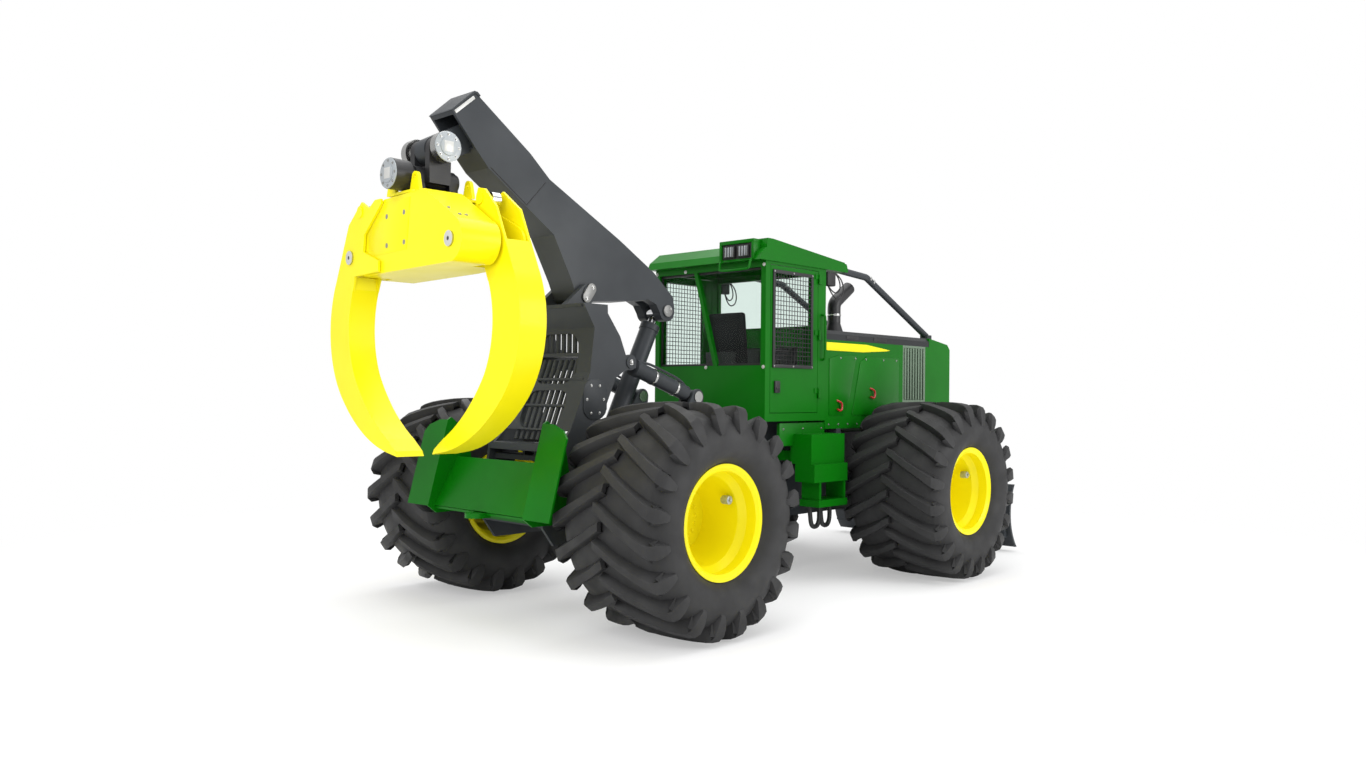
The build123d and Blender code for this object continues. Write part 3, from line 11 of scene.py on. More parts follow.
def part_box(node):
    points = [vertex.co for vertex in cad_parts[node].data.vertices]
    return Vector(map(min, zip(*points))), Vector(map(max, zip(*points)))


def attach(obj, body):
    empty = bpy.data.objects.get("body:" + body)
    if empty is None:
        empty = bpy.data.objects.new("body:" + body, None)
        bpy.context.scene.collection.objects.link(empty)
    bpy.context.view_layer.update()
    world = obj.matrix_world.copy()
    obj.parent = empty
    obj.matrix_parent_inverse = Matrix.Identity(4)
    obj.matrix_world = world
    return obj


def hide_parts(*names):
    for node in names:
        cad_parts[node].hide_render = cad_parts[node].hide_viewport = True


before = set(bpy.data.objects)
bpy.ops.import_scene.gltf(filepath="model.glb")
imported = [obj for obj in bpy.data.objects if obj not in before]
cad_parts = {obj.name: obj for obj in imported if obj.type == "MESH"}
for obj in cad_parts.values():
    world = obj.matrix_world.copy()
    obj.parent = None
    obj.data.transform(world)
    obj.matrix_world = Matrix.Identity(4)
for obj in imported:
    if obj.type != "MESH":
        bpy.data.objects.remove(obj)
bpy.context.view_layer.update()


# ---- studio ---------------------------------------------------------------------------------------------
# A white floor that fades into a white room, a broad ceiling light and two soft lights at the sides. The
# camera stands behind the machine's right rear wheel at eye height.
axle_low, axle_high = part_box("rear_axle")
rear_axle_x = (axle_low.x + axle_high.x) / 2


def at(x, y, z):
    """A point given by its station ahead of the rear axle."""
    return Vector((rear_axle_x + x, y, z))


scene = bpy.context.scene
scene.view_settings.view_transform = "Standard"

bpy.ops.object.camera_add(location=at(-5.942, -7.044, 1.927))
camera = bpy.context.object
camera.data.lens = 27.0
camera.data.sensor_width = 36.0
heading, pitch, roll = radians(43.51), radians(0.47), radians(0.57)
camera.rotation_euler = (Matrix.Rotation(heading - pi / 2, 3, "Z") @ Matrix.Rotation(pi / 2 + pitch, 3, "X")
                         @ Matrix.Rotation(roll, 3, "Z")).to_euler()
scene.camera = camera

world = bpy.data.worlds.new("white_room")
scene.world = world
world.use_nodes = True
room = world.node_tree
room.nodes.clear()
room_seen = room.nodes.new("ShaderNodeLightPath")
room_white = room.nodes.new("ShaderNodeBackground")
room_white.inputs["Color"].default_value = (1, 1, 1, 1)
room_fill = room.nodes.new("ShaderNodeBackground")
room_fill.inputs["Color"].default_value = (1, 1, 1, 1)
room_fill.inputs["Strength"].default_value = 0.72
room_choice = room.nodes.new("ShaderNodeMixShader")
room_out = room.nodes.new("ShaderNodeOutputWorld")
room_direct = room.nodes.new("ShaderNodeMath")
room_direct.operation = "MAXIMUM"
room.links.new(room_seen.outputs["Is Camera Ray"], room_direct.inputs[0])
room.links.new(room_seen.outputs["Is Transmission Ray"], room_direct.inputs[1])
room.links.new(room_direct.outputs["Value"], room_choice.inputs["Fac"])
room.links.new(room_fill.outputs["Background"], room_choice.inputs[1])
room.links.new(room_white.outputs["Background"], room_choice.inputs[2])
room.links.new(room_choice.outputs["Shader"], room_out.inputs["Surface"])

bpy.ops.mesh.primitive_circle_add(vertices=64, radius=60, fill_type="NGON", location=(0, 0, -0.002))
floor = bpy.context.object
floor.name = "studio_floor"
floor_finish = bpy.data.materials.new("studio_floor")
floor_finish.use_nodes = True
nodes, links = floor_finish.node_tree.nodes, floor_finish.node_tree.links
nodes.clear()
floor_paint = nodes.new("ShaderNodeBsdfDiffuse")
floor_paint.inputs["Color"].default_value = (0.97, 0.97, 0.97, 1)
floor_glow = nodes.new("ShaderNodeEmission")
floor_glow.inputs["Color"].default_value = (1, 1, 1, 1)
floor_place = nodes.new("ShaderNodeTexCoord")
floor_reach = nodes.new("ShaderNodeVectorMath")
floor_reach.operation = "LENGTH"
floor_fade = nodes.new("ShaderNodeMapRange")
floor_fade.inputs["From Min"].default_value = 5.0
floor_fade.inputs["From Max"].default_value = 9.0
# even near the machine the floor glows at 0.4 for the camera: painted light that lightens the machine's
# shadow on it
floor_fade.inputs["To Min"].default_value = 0.4
floor_seen = nodes.new("ShaderNodeLightPath")
floor_white = nodes.new("ShaderNodeMath")
floor_white.operation = "MULTIPLY"
floor_mix = nodes.new("ShaderNodeMixShader")
floor_out = nodes.new("ShaderNodeOutputMaterial")
links.new(floor_place.outputs["Object"], floor_reach.inputs[0])
links.new(floor_reach.outputs["Value"], floor_fade.inputs["Value"])
links.new(floor_fade.outputs["Result"], floor_white.inputs[0])
links.new(floor_seen.outputs["Is Camera Ray"], floor_white.inputs[1])
links.new(floor_white.outputs["Value"], floor_mix.inputs["Fac"])
links.new(floor_paint.outputs["BSDF"], floor_mix.inputs[1])
links.new(floor_glow.outputs["Emission"], floor_mix.inputs[2])
links.new(floor_mix.outputs["Shader"], floor_out.inputs["Surface"])
floor.data.materials.append(floor_finish)

for spot, turn, size, power in (
        ((0.0, 0.0, 9.0), (0, 0, 0), 11.0, 620),
        ((-8.5, -3.0, 5.0), (radians(62), 0, radians(-70)), 5.0, 240),
        ((3.5, -10.0, 4.5), (radians(66), 0, radians(16)), 5.0, 390),
        ((2.0, 10.0, 5.0), (radians(-66), 0, radians(-10)), 6.0, 160)):
    bpy.ops.object.light_add(type="AREA", location=spot, rotation=turn)
    lamp = bpy.context.object
    lamp.data.shape = "SQUARE"
    lamp.data.size = size
    lamp.data.energy = power


# ---- painted steel --------------------------------------------------------------------------------------
# Every panel has one sprayed coat over plate steel: a slightly uneven tone, fine orange peel, and smudges
# that make the gloss come and go. The unevenness is one group, shared by all the paints and castings.
def coat_group():
    """The shared coat: it turns a tone into a colour, a roughness and a normal that vary over the surface."""
    group = bpy.data.node_groups.new("sprayed_coat", "ShaderNodeTree")
    tone = group.interface.new_socket(name="Tone", in_out="INPUT", socket_type="NodeSocketColor")
    tone.default_value = (0.5, 0.5, 0.5, 1)
    for name, value in (("Shade", 0.9), ("Patch Size", 2.0), ("Grain Size", 350.0), ("Grain Depth", 0.05),
                        ("Gloss Low", 0.3), ("Gloss High", 0.42)):
        socket = group.interface.new_socket(name=name, in_out="INPUT", socket_type="NodeSocketFloat")
        socket.default_value = value
    group.interface.new_socket(name="Color", in_out="OUTPUT", socket_type="NodeSocketColor")
    group.interface.new_socket(name="Roughness", in_out="OUTPUT", socket_type="NodeSocketFloat")
    group.interface.new_socket(name="Normal", in_out="OUTPUT", socket_type="NodeSocketVector")
    make, join = group.nodes.new, group.links.new
    given, result = make("NodeGroupInput"), make("NodeGroupOutput")
    place = make("ShaderNodeTexCoord")
    patches, grain = make("ShaderNodeTexNoise"), make("ShaderNodeTexNoise")
    patches.inputs["Detail"].default_value = 3
    grain.inputs["Detail"].default_value = 2
    shade = make("ShaderNodeMix")
    shade.data_type = "RGBA"
    shade.blend_type = "MULTIPLY"
    darker = make("ShaderNodeCombineColor")
    spread = make("ShaderNodeMapRange")
    spread.inputs["From Min"].default_value = 0.35
    spread.inputs["From Max"].default_value = 0.65
    gloss = make("ShaderNodeMapRange")
    gloss.inputs["From Min"].default_value = 0.3
    gloss.inputs["From Max"].default_value = 0.7
    bump = make("ShaderNodeBump")
    bump.inputs["Distance"].default_value = 0.001
    for noise, size in ((patches, "Patch Size"), (grain, "Grain Size")):
        join(place.outputs["Object"], noise.inputs["Vector"])
        join(given.outputs[size], noise.inputs["Scale"])
    for channel in ("Red", "Green", "Blue"):
        join(given.outputs["Shade"], darker.inputs[channel])
    join(patches.outputs["Fac"], spread.inputs["Value"])
    join(spread.outputs["Result"], shade.inputs["Factor"])
    join(given.outputs["Tone"], shade.inputs["A"])
    join(darker.outputs["Color"], shade.inputs["B"])
    join(shade.outputs["Result"], result.inputs["Color"])
    join(patches.outputs["Fac"], gloss.inputs["Value"])
    join(given.outputs["Gloss Low"], gloss.inputs["To Min"])
    join(given.outputs["Gloss High"], gloss.inputs["To Max"])
    join(gloss.outputs["Result"], result.inputs["Roughness"])
    join(grain.outputs["Fac"], bump.inputs["Height"])
    join(given.outputs["Grain Depth"], bump.inputs["Strength"])
    join(bump.outputs["Normal"], result.inputs["Normal"])
    return group


sprayed_coat = coat_group()


def coated(name, tone, metal=0.0, clear=0.0, shine=0.5, **values):
    """A material whose colour, gloss and grain come from the shared coat."""
    material = bpy.data.materials.new(name)
    material.use_nodes = True
    tree = material.node_tree
    shader = tree.nodes["Principled BSDF"]
    shader.inputs["Metallic"].default_value = metal
    shader.inputs["Specular IOR Level"].default_value = shine
    shader.inputs["Coat Weight"].default_value = clear
    shader.inputs["Coat Roughness"].default_value = 0.08
    coat = tree.nodes.new("ShaderNodeGroup")
    coat.node_tree = sprayed_coat
    coat.inputs["Tone"].default_value = (*tone, 1)
    for socket, value in values.items():
        coat.inputs[socket.replace("_", " ")].default_value = value
    tree.links.new(coat.outputs["Color"], shader.inputs["Base Color"])
    tree.links.new(coat.outputs["Roughness"], shader.inputs["Roughness"])
    tree.links.new(coat.outputs["Normal"], shader.inputs["Normal"])
    return material


green_paint = coated("green_paint", (0.0015, 0.145, 0.002), clear=0.04, shine=0.16, Shade=0.88)
yellow_paint = coated("yellow_paint", (0.93, 0.82, 0.004), clear=0.06, shine=0.22, Shade=0.96)
slate_paint = coated("slate_paint", (0.041, 0.046, 0.052), shine=0.25, Shade=0.85,
                     Gloss_Low=0.36, Gloss_High=0.5)
dark_cover = coated("dark_cover", (0.024, 0.026, 0.028), shine=0.25, Gloss_Low=0.34, Gloss_High=0.46)
# the black of real castings, also used for painted shade on the pin sockets and the boom's seam
black_casting = coated("black_casting", (0.016, 0.016, 0.018), Grain_Size=160.0, Grain_Depth=0.25,
                       Gloss_Low=0.38, Gloss_High=0.52)
bare_steel = coated("bare_steel", (0.45, 0.45, 0.44), metal=1.0, Grain_Size=700.0,
                    Gloss_Low=0.2, Gloss_High=0.34)
rod_chrome = coated("rod_chrome", (0.74, 0.75, 0.76), metal=1.0, Grain_Depth=0.01,
                    Gloss_Low=0.06, Gloss_High=0.12)
silver_paint = coated("silver_paint", (0.42, 0.45, 0.47), metal=0.4, Gloss_Low=0.34, Gloss_High=0.46)
grille_paint = coated("grille_paint", (0.17, 0.24, 0.17), metal=0.2, shine=0.3,
                      Gloss_Low=0.36, Gloss_High=0.5)
black_plastic = coated("black_plastic", (0.012, 0.012, 0.013), Grain_Size=900.0, Grain_Depth=0.4,
                       Gloss_Low=0.42, Gloss_High=0.6)

NODE_FINISH = {
    green_paint: ["front_guard", "hood_sides", "cab_shell", "cab_roof", "cab_steps", "left_door",
                  "right_door", "butt_plate", "engine_block"],
    yellow_paint: ["left_tong", "right_tong", "grapple_head", "rotator_guard", "front_left_rim",
                   "front_right_rim", "rear_left_rim", "rear_right_rim"],
    slate_paint: ["arch_pins", "front_frame", "rear_frame", "front_axle", "rear_axle", "arch", "boom",
                  "winch", "dozer_blade", "limb_risers", "arch_cylinder_barrels", "boom_cylinder_barrel",
                  "blade_cylinder_barrels", "left_steering_barrel", "right_steering_barrel"],
    dark_cover: ["hood_top"],
    black_casting: ["crosshead", "swivel_yoke", "exhaust_stack", "left_grapple_barrel",
                    "right_grapple_barrel"],
    bare_steel: ["tip_pin", "tong_pins", "front_frame_pins", "rear_frame_pins"],
    rod_chrome: ["left_grapple_rod", "right_grapple_rod", "arch_cylinder_rods", "boom_cylinder_rod",
                 "blade_cylinder_rods", "left_steering_rod", "right_steering_rod"],
    grille_paint: ["side_grilles"],
    black_plastic: ["operator_seat", "cab_console"],
}


def dress(node, material):
    """Give a CAD node its finish."""
    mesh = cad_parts[node].data
    mesh.materials.clear()
    mesh.materials.append(material)


for material, names in NODE_FINISH.items():
    for name in names:
        dress(name, material)


# ---- glass ----------------------------------------------------------------------------------------------
# Panes of clear safety glass with a faint green tint, held by seals from inside.
glass = bpy.data.materials.new("cab_glass")
glass.use_nodes = True
glass_shader = glass.node_tree.nodes["Principled BSDF"]
glass_shader.inputs["Base Color"].default_value = (0.84, 0.91, 0.88, 1)
glass_shader.inputs["Transmission Weight"].default_value = 1.0
glass_shader.inputs["Roughness"].default_value = 0.0
glass_shader.inputs["IOR"].default_value = 1.12
for name in ("cab_windows", "left_door_window", "right_door_window"):
    dress(name, glass)


# ---- tyres ----------------------------------------------------------------------------------------------
# Wide low-pressure forestry tyres: a round-shouldered carcass with 20 deep bars on each side that meet in
# a chevron. One tyre is modelled about the origin and copied to each wheel.
def let_go():
    """Nothing stays selected, so the next operator acts on the new piece alone."""
    if bpy.context.object and bpy.context.object.mode != "OBJECT":
        bpy.ops.object.mode_set(mode="OBJECT")
    bpy.ops.object.select_all(action="DESELECT")


def settle(piece):
    """Put the piece's place, turn and scale into its mesh."""
    let_go()
    piece.select_set(True)
    bpy.context.view_layer.objects.active = piece
    bpy.ops.object.transform_apply(location=True, rotation=True, scale=True)
    return piece


def smooth(piece, angle=35):
    """Shade the round faces of a piece smooth and keep its edges crisp."""
    let_go()
    piece.select_set(True)
    bpy.context.view_layer.objects.active = piece
    bpy.ops.object.shade_smooth_by_angle(angle=radians(angle))
    return piece


def weld(name, pieces):
    """Join pieces into one named piece."""
    let_go()
    for piece in pieces:
        piece.select_set(True)
    bpy.context.view_layer.objects.active = pieces[0]
    if len(pieces) > 1:
        bpy.ops.object.join()
    whole = bpy.context.object
    whole.name = name
    return settle(whole)


def fit(piece, body, material):
    """Finish a piece and fasten it to the body it moves with."""
    piece.data.materials.clear()
    piece.data.materials.append(material)
    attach(piece, body)


TYRE_R = 0.927
BARS = 20
# side of the carcass from the crown to the bead: distance from the middle, radius
CARCASS = [(0.0, 0.861), (0.18, 0.857), (0.33, 0.845), (0.43, 0.822), (0.492, 0.785), (0.525, 0.74),
           (0.545, 0.69), (0.553, 0.64), (0.549, 0.58), (0.532, 0.53), (0.505, 0.492), (0.48, 0.472),
           (0.468, 0.463), (0.456, 0.452), (0.456, 0.415), (0.39, 0.414), (0.38, 0.44)]


def tyre_carcass():
    """The cross-section, as a wire, spun about the axle."""
    let_go()
    section = [(-y, r) for y, r in reversed(CARCASS[1:])] + CARCASS
    bpy.ops.mesh.primitive_circle_add(vertices=len(section), radius=1, fill_type="NOTHING")
    ring = bpy.context.object
    for vertex, (y, r) in zip(ring.data.vertices, section):
        vertex.co = (0, y, r)
    bpy.ops.object.mode_set(mode="EDIT")
    bpy.ops.mesh.select_all(action="SELECT")
    bpy.ops.mesh.spin(steps=120, angle=2 * pi, center=(0, 0, 0), axis=(0, 1, 0))
    bpy.ops.mesh.select_all(action="SELECT")
    bpy.ops.mesh.remove_doubles(threshold=0.0004)
    bpy.ops.mesh.normals_make_consistent(inside=False)
    bpy.ops.object.mode_set(mode="OBJECT")
    return ring


def carcass_radius(y):
    """Radius of the carcass at a distance from the middle, down to its widest part."""
    for (y0, r0), (y1, r1) in zip(CARCASS, CARCASS[1:]):
        if y <= y1:
            return r0 + (r1 - r0) * (y - y0) / (y1 - y0)
    return CARCASS[-1][1]


# a bar from its inner end to its foot on the sidewall:
# distance from the middle, lead round the tyre in degrees, top radius, half width at the top, at the foot
BAR = [(-0.035, 18.6, 0.924, 0.034, 0.052), (0.05, 15.8, 0.926, 0.040, 0.060),
       (0.115, 13.2, 0.927, 0.038, 0.060), (0.24, 9.1, 0.925, 0.039, 0.064), (0.38, 4.5, 0.918, 0.043, 0.070),
       (0.47, 1.5, 0.909, 0.049, 0.077), (0.512, 0.2, 0.893, 0.054, 0.081),
       (0.538, -0.4, 0.855, 0.057, 0.082), (0.552, -0.7, 0.795, 0.056, 0.078),
       (0.557, -0.8, 0.735, 0.045, 0.062), (0.556, -0.8, 0.70, 0.030, 0.040)]
BAR_SPOTS = (-1, -0.93, -0.8, 0.8, 0.93, 1)     # vertices across a bar, as shares of its width
SIDEWALL = 0.88             # below this radius a bar runs out over the sidewall


def tread_bar():
    """One bar: a grid laid along it, with its long sides pulled down into the carcass."""
    let_go()
    bpy.ops.mesh.primitive_grid_add(x_subdivisions=len(BAR) - 1, y_subdivisions=5, size=1)
    bar = bpy.context.object
    columns = sorted(bar.data.vertices, key=lambda v: (round(v.co.x, 4), v.co.y))
    for place, (y, lead, top, narrow, wide) in enumerate(BAR):
        root = carcass_radius(min(abs(y), 0.545)) - 0.012
        if top < SIDEWALL:
            root = top
        for number, vertex in enumerate(columns[place * 6:place * 6 + 6]):
            foot = number in (0, 5)
            side = (wide if foot else narrow) * BAR_SPOTS[number] / (1 if foot else 0.93)
            depth = root if foot else (top - 0.006 if number in (1, 4) else top)
            out = 0.0
            if top < SIDEWALL:
                depth = top
                out = -0.03 if foot else 0.0
            turn = radians(lead) + side / TYRE_R
            vertex.co = (depth * sin(turn), y + out, depth * cos(turn))
    bpy.ops.object.mode_set(mode="EDIT")
    bpy.ops.mesh.select_all(action="SELECT")
    bpy.ops.mesh.region_to_loop()
    bpy.ops.mesh.extrude_region_move(TRANSFORM_OT_translate={"value": (0, 0, 0)})
    bpy.ops.transform.resize(value=(0.93, 0.97, 0.96), center_override=(0, 0, 0))
    bpy.ops.mesh.edge_face_add()
    bpy.ops.mesh.select_all(action="SELECT")
    bpy.ops.mesh.normals_make_consistent(inside=False)
    bpy.ops.object.mode_set(mode="OBJECT")
    return bar


def forestry_tyre():
    """The carcass with its two rows of bars, the second row half a pitch behind the first."""
    bar = tread_bar()
    mirrored = bar.copy()
    mirrored.data = bar.data.copy()
    bpy.context.collection.objects.link(mirrored)
    mirrored.scale.y = -1
    mirrored.rotation_euler.y = pi / BARS
    settle(mirrored)
    bpy.ops.object.mode_set(mode="EDIT")
    bpy.ops.mesh.select_all(action="SELECT")
    bpy.ops.mesh.normals_make_consistent(inside=False)
    bpy.ops.object.mode_set(mode="OBJECT")
    bars = []
    for number in range(BARS):
        for model in (bar, mirrored):
            copy = model.copy()
            copy.data = model.data.copy()
            bpy.context.collection.objects.link(copy)
            copy.rotation_euler.y = number * 2 * pi / BARS
            bars.append(copy)
    for model in (bar, mirrored):
        bpy.data.objects.remove(model)
    for copy in bars:
        settle(copy)
    return smooth(weld("forestry_tyre", [tyre_carcass()] + bars), 32)


rubber = coated("tyre_rubber", (0.023, 0.023, 0.024), shine=0.4, Shade=0.8, Patch_Size=5.0,
                Grain_Size=240.0, Grain_Depth=0.3, Gloss_Low=0.55, Gloss_High=0.72)
tyre_model = forestry_tyre()
for corner in ("front_left", "front_right", "rear_left", "rear_right"):
    low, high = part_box(f"{corner}_tyre")
    tyre = tyre_model.copy()
    tyre.data = tyre_model.data.copy()
    tyre.name = f"{corner}_treaded_tyre"
    bpy.context.collection.objects.link(tyre)
    tyre.location = (low + high) / 2
    settle(tyre)
    fit(tyre, f"{corner}_wheel", rubber)
    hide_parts(f"{corner}_tyre")
bpy.data.objects.remove(tyre_model)


# ---- wheel fittings -------------------------------------------------------------------------------------
# Each rim is one yellow dished pressing. A cast guard stands over its valve, and a ring of studs with
# domed nuts holds the disc to the planetary hub.
def soften(piece, width, angle=40, rounds=2):
    """Break the sharp edges of a piece by a small rounded bevel."""
    bevel = piece.modifiers.new("broken_edges", "BEVEL")
    bevel.width = width
    bevel.segments = rounds
    bevel.limit_method = "ANGLE"
    bevel.angle_limit = radians(angle)
    bpy.context.view_layer.objects.active = piece
    bpy.ops.object.modifier_apply(modifier=bevel.name)
    return piece


def round_bar(start, end, radius, sides=24, edge=0.0):
    """A round bar, or a hexagonal one with six sides, from point to point."""
    start, end = Vector(start), Vector(end)
    reach = end - start
    let_go()
    bpy.ops.mesh.primitive_cylinder_add(vertices=sides, radius=radius, depth=reach.length,
                                        location=(start + end) / 2,
                                        rotation=reach.to_track_quat("Z", "Y").to_euler())
    piece = settle(bpy.context.object)
    return soften(piece, edge) if edge else piece


def fasten(name, pieces, body, material):
    """Join pieces into one, shade it, finish it and fasten it to its body."""
    fit(smooth(weld(name, pieces)), body, material)


def bolt_heads(name, places, out, size, body, material):
    """Hexagon heads on washers: one is modelled and copied to each place, facing out."""
    out = Vector(out).normalized()
    model = weld("bolt", [round_bar((0, 0, 0), out * size * 0.2, size * 1.25, 16),
                          round_bar((0, 0, 0), out * size * 0.8, size * 0.85, 6, edge=size * 0.1)])
    copies = []
    for place in places:
        copy = model.copy()
        copy.data = model.data.copy()
        bpy.context.collection.objects.link(copy)
        copy.location = place
        copies.append(copy)
    bpy.data.objects.remove(model)
    fasten(name, copies, body, material)


RIM_FACE = 0.47             # wheel centre to the outer lip
GUARD_RADIUS = 0.29         # of the circle that the valve guard stands on
STUDS = 20
STUD_CIRCLE = 0.205
DISC_FACE = RIM_FACE - 0.5 - 0.001

for corner in ("front_left", "front_right", "rear_left", "rear_right"):
    low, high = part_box(f"{corner}_rim")
    hub, side = (low + high) / 2, (1 if "left" in corner else -1)
    out = Vector((0, side, 0))
    face = hub + out * DISC_FACE
    guard_at = hub + Vector((GUARD_RADIUS * 0.86, side * (RIM_FACE - 0.20), GUARD_RADIUS * 0.5))
    guard = [round_bar(guard_at - out * 0.04, guard_at + out * 0.035, 0.036, 20, edge=0.008),
             round_bar(guard_at + out * 0.03, guard_at + out * 0.05, 0.014, 6, edge=0.002)]
    fasten(f"{corner}_valve_guard", guard, f"{corner}_wheel", silver_paint)
    studs = [face + Vector((STUD_CIRCLE * cos(turn), 0, STUD_CIRCLE * sin(turn)))
             for turn in (2 * pi * number / STUDS for number in range(STUDS))]
    bolt_heads(f"{corner}_studs", studs, out, 0.016, f"{corner}_wheel", yellow_paint)


# ---- hydraulic trim -------------------------------------------------------------------------------------
# Each arch cylinder has a steel oil tube along its barrel. Two bright clamps, each an open band of strip
# steel, wrap the barrel and hold the tube.
def pipe(route, radius):
    """A round tube or hose whose line runs smoothly along a few points."""
    curve = bpy.data.curves.new("pipe", "CURVE")
    curve.dimensions = "3D"
    curve.bevel_depth = radius
    curve.bevel_resolution = 3
    curve.use_fill_caps = True
    line = curve.splines.new("NURBS")
    line.points.add(len(route) - 1)
    for point, place in zip(line.points, route):
        point.co = (*place, 1)
    line.order_u = 3
    line.use_endpoint_u = True
    line.resolution_u = 6
    piece = bpy.data.objects.new("pipe", curve)
    bpy.context.collection.objects.link(piece)
    let_go()
    piece.select_set(True)
    bpy.context.view_layer.objects.active = piece
    bpy.ops.object.convert(target="MESH")
    return bpy.context.object


def band(start, end, radius, thickness):
    """A thin open ring that wraps a round barrel."""
    start, end = Vector(start), Vector(end)
    reach = end - start
    let_go()
    bpy.ops.mesh.primitive_cylinder_add(vertices=32, radius=radius, depth=reach.length,
                                        location=(start + end) / 2, end_fill_type="NOTHING",
                                        rotation=reach.to_track_quat("Z", "Y").to_euler())
    ring = settle(bpy.context.object)
    wall = ring.modifiers.new("wall", "SOLIDIFY")
    wall.thickness = thickness
    wall.offset = -1
    bpy.ops.object.modifier_apply(modifier=wall.name)
    return soften(ring, 0.002)


SIDES = ((-1, "right"), (1, "left"))
ARCH_CYLINDER_Y = 0.375

for side, hand in SIDES:
    base, eye = at(1.215, side * ARCH_CYLINDER_Y, 1.885), at(0.318, side * ARCH_CYLINDER_Y, 2.188)
    along = (eye - base).normalized()
    over = Vector((0, side, 0)).cross(along) * -side
    over = over if over.z > 0 else -over
    line = over * 0.098
    tube = pipe([base + along * 0.14 + line * 0.7, base + along * 0.2 + line, base + along * 0.45 + line,
                 base + along * 0.68 + line, base + along * 0.73 + line * 0.75], 0.012)
    fasten(f"{hand}_arch_oil_tube", [tube], "arch_cylinder_barrels", slate_paint)
    bands = [band(base + along * (reach - 0.014), base + along * (reach + 0.014), 0.076, 0.007)
             for reach in (0.27, 0.57)]
    fasten(f"{hand}_arch_tube_bands", bands, "arch_cylinder_barrels", bare_steel)


# ---- grapple fittings -----------------------------------------------------------------------------------
# The grapple hangs a little turned, so its fittings are placed in its own frame: back and forward along
# its pins, out to its left, and up. Its pins have zinc-plated ends; each end's hexagon socket is a thin black
# hexagon laid on it, painted shade standing for the hole.
def plate(outline, thickness, edge=0.0):
    """A flat plate cut to an outline and given its thickness."""
    let_go()
    bpy.ops.mesh.primitive_circle_add(vertices=len(outline), radius=1, fill_type="NGON")
    piece = bpy.context.object
    for vertex, place in zip(piece.data.vertices, outline):
        vertex.co = place
    bpy.ops.object.mode_set(mode="EDIT")
    bpy.ops.mesh.select_all(action="SELECT")
    bpy.ops.mesh.extrude_region_move(TRANSFORM_OT_translate={"value": Vector(thickness)})
    bpy.ops.mesh.select_all(action="SELECT")
    bpy.ops.mesh.normals_make_consistent(inside=False)
    bpy.ops.object.mode_set(mode="OBJECT")
    return soften(piece, edge) if edge else piece


GRAPPLE_STATION = -1.444
GRAPPLE_YAW = radians(-4.3)


def on_grapple(back, out, up):
    """A point in the grapple's own frame."""
    return at(GRAPPLE_STATION + back * cos(GRAPPLE_YAW) - out * sin(GRAPPLE_YAW),
              back * sin(GRAPPLE_YAW) + out * cos(GRAPPLE_YAW), up)


# the same light finish also paints the highlight strips on the boom's tip
zinc_and_highlight = coated("zinc_and_highlight", (0.62, 0.62, 0.6), metal=0.35, Grain_Size=500.0,
                    Gloss_Low=0.3, Gloss_High=0.45)
TONG_PIN_OUT = 0.797        # from the middle of the head
TONG_PIN_UP = 3.015
HEAD_FACE = 0.276           # from the middle of the head to the outside of its panels
pin_way = Vector((cos(GRAPPLE_YAW), sin(GRAPPLE_YAW), 0))
discs, socket_shades = [], []
for turned in (-1, 1):
    for back in (-0.314 if turned > 0 else -0.288, 0.288 if turned > 0 else 0.314):
        face = on_grapple(back, TONG_PIN_OUT * turned, TONG_PIN_UP)
        way = pin_way * (1 if back > 0 else -1)
        discs.append(round_bar(face, face + way * 0.006, 0.058, 32, edge=0.002))
        # a thin black hexagon on each pin end: painted shade standing for the socket's hole
        socket_shades.append(round_bar(face + way * 0.004, face + way * 0.0065, 0.017, 6, edge=0.0005))
fasten("tong_pin_ends", discs, "grapple_head", zinc_and_highlight)
fasten("tong_pin_socket_shades", socket_shades, "grapple_head", black_casting)

# a plate bolted over the opening in the rear and in the front panel of the head
for turned, name in ((-1, "rear"), (1, "front")):
    back = turned * HEAD_FACE
    corners = [(-0.19, 3.40), (-0.14, 3.0), (0.40, 3.0), (0.50, 3.05), (0.535, 3.174), (0.30, 3.40)]
    outline = [on_grapple(back, -turned * out, up) for out, up in corners]
    cover = plate(outline, pin_way * turned * 0.003, edge=0.0012)
    fasten(f"{name}_head_cover", [cover], "grapple_head", yellow_paint)
    heads = []
    for out, up in ((0.195, 3.29), (-0.095, 3.29), (0.19, 3.06), (-0.10, 3.06)):
        seat = on_grapple(back + turned * 0.002, -turned * out, up)
        heads.append(round_bar(seat, seat + pin_way * turned * 0.0028, 0.020, 24, edge=0.0008))
    fasten(f"{name}_cover_bolts", heads, "grapple_head", bare_steel)
    # three small bolts through the sloping plate over the pin's boss
    slope_out = Vector((0, turned * 0.502, 0.865))
    slope = [on_grapple(turned * depth, turned * (0.40 + 0.508 * share), 3.432 - 0.295 * share)
             for depth, share in ((0.245, 0.62), (0.205, 0.80), (0.150, 0.80))]
    bolt_heads(f"{name}_slope_bolts", slope, slope_out, 0.012, "grapple_head", bare_steel)


